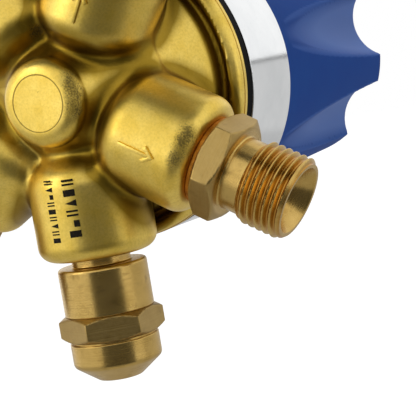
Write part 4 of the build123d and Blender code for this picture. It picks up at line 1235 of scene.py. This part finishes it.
class REGULATOR_OT_gauges(Step, bpy.types.Operator):
    """Make the two gauges' bezels, eased cases and sockets, and the print on their dials"""

    bl_idname = "regulator.gauges"
    bl_label = "Gauges"

    def number(self, text, spot):
        """A number of the dial as a flat mesh."""
        curve = bpy.data.curves.new("number", "FONT")
        curve.body = text
        curve.size = 4.6
        curve.align_x = "CENTER"
        curve.align_y = "CENTER"
        curve.extrude = 0.02
        written = add_object("number", curve)
        bpy.context.view_layer.update()
        mesh = plain_mesh(written)
        mesh.transform(Matrix.Translation(spot))
        return add_object("number", mesh)

    def dial_print(self, name):
        """The dial's marks, arc and numbers, drawn about the pointer with 0 at the lower left."""
        steps = self.shapes.divisions
        made = []
        for part, count, radius, size in (
            ("long_marks", steps + 1, 22.6, (0.7, 4.4, 0.05)),
            ("short_marks", steps * 5 + 1, 23.7, (0.3, 2.2, 0.05)),
            ("arc", 271, 24.9, (0.46, 0.3, 0.05)),
        ):
            made.append(marks(
                f"{name}_{part}", "pointer_black", Count=count, Radius=radius, Size=size, Start=DIAL_START,
                Sweep=DIAL_SWEEP, Height=DIAL_FACE,
            ))
        for step in range(steps + 1):
            at = DIAL_START - DIAL_SWEEP * step / steps
            spot = (-math.sin(at) * 17.2, math.cos(at) * 17.2, DIAL_FACE)
            made.append(self.number(str(DIAL_END * step // steps), spot))
        return joined(name + "_dial_print", made)

    def execute(self, context):
        for name, angle in (("contents", CONTENTS), ("flow", FLOW)):
            upright = Matrix.Rotation(math.radians(angle - 180), 4, "Z")
            place = on_gauge(angle)
            bezel = rounded([
                (30.35, 9.0), (31.5, 9.0, 0.3), (31.5, 17.0, 0.3), (30.6, 18.2, 0.5), (27.9, 18.2, 0.4),
                (27.3, 17.0), (30.35, 17.0),
            ])
            settle(lathe(name + "_bezel_spun", bezel, place, 240), "chrome_plate", name + "_bezel")
            settle(eased(name + "_case", 0.25), "chrome_plate", name + "_case")
            settle(eased(name + "_socket", 0.2), "turned_brass", name + "_socket")
            print_work = self.dial_print(name)
            print_work.data.transform(place @ upright)
            settle(print_work, "pointer_black", shows=name + "_dial")
        return {"FINISHED"}


class REGULATOR_OT_springs(Step, bpy.types.Operator):
    """Copy each spring's solid, shade it smooth and give it spring steel"""

    bl_idname = "regulator.springs"
    bl_label = "Springs"

    def execute(self, context):
        # Each spring's joint, its axis as the index of X, Y or Z, and its travel in millimetres
        for node, joint, along, travel in (
            ("range_spring", "spring_nut_slide", 1, 7.5), ("valve_spring", "valve_lift", 1, 0.8),
            ("relief_spring", "relief_lift", 2, 1.0),
        ):
            coil = add_object(node + "_wound", NODES[node].data.copy())
            smooth(coil.data)
            settle(coil, "spring_steel", node)
            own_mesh(coil)
        return {"FINISHED"}


class REGULATOR_OT_fittings(Step, bpy.types.Operator):
    """Give every solid that carries over its finish, from the name of its own slot"""

    bl_idname = "regulator.fittings"
    bl_label = "Inner pieces"

    def execute(self, context):
        for node in NODES.values():
            slot = node.data.materials[0].name.split(".")[0] if node.data.materials else "steel"
            node.data.materials.clear()
            node.data.materials.append(finish(slot))
        return {"FINISHED"}


class REGULATOR_OT_stage(Step, bpy.types.Operator):
    """Set up the floor, the soft lights and the camera"""

    bl_idname = "regulator.stage"
    bl_label = "Stage"

    def lamp(self, name, aim, far, size, power, in_gloss):
        """Soft rectangular lamp that lies this way and this far from the main axis, and faces it."""
        light = bpy.data.lights.new(name, "AREA")
        light.shape = "RECTANGLE"
        light.size, light.size_y = size
        light.energy = power
        made = add_object(name, light)
        way = Vector(aim).normalized()
        made.location = AXIS + way * far
        made.rotation_mode = "QUATERNION"
        made.rotation_quaternion = way.to_track_quat("Z", "Y")
        made.visible_glossy = in_gloss
        return made

    def camera(self):
        azimuth, elevation, roll = (math.radians(v) for v in (VIEW_AZIMUTH, VIEW_ELEVATION, VIEW_ROLL))
        level = Vector((math.sin(azimuth), -math.cos(azimuth), 0.0)) * math.cos(elevation)
        back = level + Vector((0.0, 0.0, math.sin(elevation)))
        right = (-back).cross(Vector((0, 0, 1))).normalized()
        up = right.cross(-back)
        across = right * math.cos(roll) + up * math.sin(roll)
        upward = up * math.cos(roll) - right * math.sin(roll)
        data = bpy.data.cameras.new("camera")
        data.sensor_width = 36.0
        data.lens = VIEW_FOCAL * data.sensor_width / VIEW_WIDTH
        data.shift_x = (VIEW_WIDTH / 2 - VIEW_CENTRE[0]) / VIEW_WIDTH
        data.shift_y = (VIEW_CENTRE[1] - VIEW_WIDTH / 2) / VIEW_WIDTH
        data.clip_start, data.clip_end = 0.01, 20.0
        made = add_object("camera", data)
        made.rotation_mode = "QUATERNION"
        made.rotation_quaternion = Matrix((across, upward, back)).transposed().to_quaternion()
        made.location = AXIS + (across * VIEW_ASIDE - upward * VIEW_BELOW + back * VIEW_DISTANCE) * MM
        bpy.context.scene.camera = made

    def card(self, name, aim, far, size, level):
        """Card of an even grey level that only gloss picks up."""
        material = Finish("studio_" + name).surface(
            Base_Color=srgb(0, 0, 0), Roughness=1.0, Specular_IOR_Level=0.0, Emission_Strength=1.0,
            Emission_Color=(level, level, level, 1.0),
        )
        way = Vector(aim).normalized()
        place = Matrix.Translation(AXIS + way * far) @ way.to_track_quat("Z", "Y").to_matrix().to_4x4()
        x, y = size[0] / 2, size[1] / 2
        card = mesh_piece(name, [(-x, -y, 0), (x, -y, 0), (x, y, 0), (-x, y, 0)], [(0, 1, 2, 3)], place)
        card.data.materials.append(material)
        card.visible_camera = card.visible_shadow = card.visible_diffuse = card.visible_transmission = False
        return card

    def world(self):
        """White where the camera, glass or gloss sees it, and a softer white light on everything else."""
        world = bpy.data.worlds.new("studio")
        bpy.context.scene.world = world
        nodes = Nodes(world)
        strength = nodes.node("ShaderNodeMapRange", {}, {"Value": nodes.seen_directly(), "To Min": 0.55})
        sockets = {"Color": (1.0, 1.0, 1.0, 1.0), "Strength": strength}
        background = nodes.node("ShaderNodeBackground", {}, sockets)
        nodes.node("ShaderNodeOutputWorld", {}, {"Surface": background})

    def floor(self):
        """Pale floor that shows white to the camera, glass and gloss, and keeps the object's shadow."""
        f = Finish("studio_floor")
        haze = f.noise(6.0, 2.0)
        tone = f.mix(haze, srgb(236, 236, 235), srgb(232, 232, 232))
        glow = f.mix(f.seen_directly(), (0.0, 0.0, 0.0, 1.0), (0.55, 0.55, 0.55, 1.0))
        paint = f.surface(Base_Color=tone, Roughness=0.7, Emission_Color=glow, Emission_Strength=1.0)
        half, level = 6, -0.32
        corners = [(-half, -half, level), (half, -half, level), (half, half, level), (-half, half, level)]
        floor = mesh_piece("floor", corners, [(0, 1, 2, 3)], Matrix())
        floor.data.materials.append(paint)
        return floor

    def execute(self, context):
        floor = self.floor()
        lamps = [
            self.lamp("top_light", (0.1, 0.35, 1.0), 0.9, (0.9, 0.9), 8.0, False),
            self.lamp("left_light", (0.9, 0.9, 0.35), 1.0, (0.6, 0.8), 4.0, False),
            self.lamp("left_panel", (0.62, 0.72, 0.42), 1.0, (0.5, 0.7), 1.6, True),
            self.lamp("right_light", (-0.9, 0.5, 0.5), 1.0, (0.5, 0.8), 3.0, False),
            self.lamp("front_light", (0.2, -1.0, 0.6), 1.1, (0.8, 0.8), 4.0, False),
        ]
        cards = [
            self.card("camera_card", (-0.55, 0.82, -0.34), 0.36, (0.60, 0.44), 0.10),
            self.card("top_card", (0.0, 0.2, 1.0), 0.46, (1.0, 0.32), 0.08),
            self.card("table_card", (0.0, 0.0, -1.0), 0.35, (3.0, 3.0), 0.5),
            self.card("front_card", (-0.38, -0.92, -0.176), 0.6, (1.6, 0.244), 0.62),
            self.card("front_edge", (-0.38, -0.92, 0.016), 0.59, (1.6, 0.012), 0.15),
        ]
        self.world()
        self.camera()
        bpy.context.scene.view_settings.view_transform = "Standard"
        return {"FINISHED"}


class REGULATOR_PT_panel(bpy.types.Panel):
    """Lists the regulator's sizes, colours and steps"""

    bl_label = "Regulator"
    bl_idname = "REGULATOR_PT_panel"
    bl_space_type = "VIEW_3D"
    bl_region_type = "UI"
    bl_category = "Regulator"

    def draw(self, context):
        for group in (context.scene.regulator_shapes, context.scene.regulator_looks):
            for name in group.__annotations__:
                self.layout.prop(group, name)
        for step in STEPS:
            self.layout.operator(step.bl_idname)


STEPS = (
    REGULATOR_OT_body, REGULATOR_OT_bonnet, REGULATOR_OT_knob, REGULATOR_OT_outlet, REGULATOR_OT_relief,
    REGULATOR_OT_inlet, REGULATOR_OT_gauges, REGULATOR_OT_springs, REGULATOR_OT_fittings, REGULATOR_OT_stage,
)
CLASSES = (RegulatorLooks, RegulatorShapes) + STEPS + (REGULATOR_PT_panel,)


def register():
    for kind in CLASSES:
        bpy.utils.register_class(kind)
    bpy.types.Scene.regulator_looks = bpy.props.PointerProperty(type=RegulatorLooks)
    bpy.types.Scene.regulator_shapes = bpy.props.PointerProperty(type=RegulatorShapes)


def unregister():
    del bpy.types.Scene.regulator_shapes
    del bpy.types.Scene.regulator_looks
    for kind in reversed(CLASSES):
        bpy.utils.unregister_class(kind)


def main():
    """Runs every step in order."""
    register()
    bpy.ops.regulator.body()
    bpy.ops.regulator.bonnet()
    bpy.ops.regulator.knob()
    bpy.ops.regulator.outlet()
    bpy.ops.regulator.relief()
    bpy.ops.regulator.inlet()
    bpy.ops.regulator.gauges()
    bpy.ops.regulator.springs()
    bpy.ops.regulator.fittings()
    bpy.ops.regulator.stage()


if __name__ == "__main__":
    main()
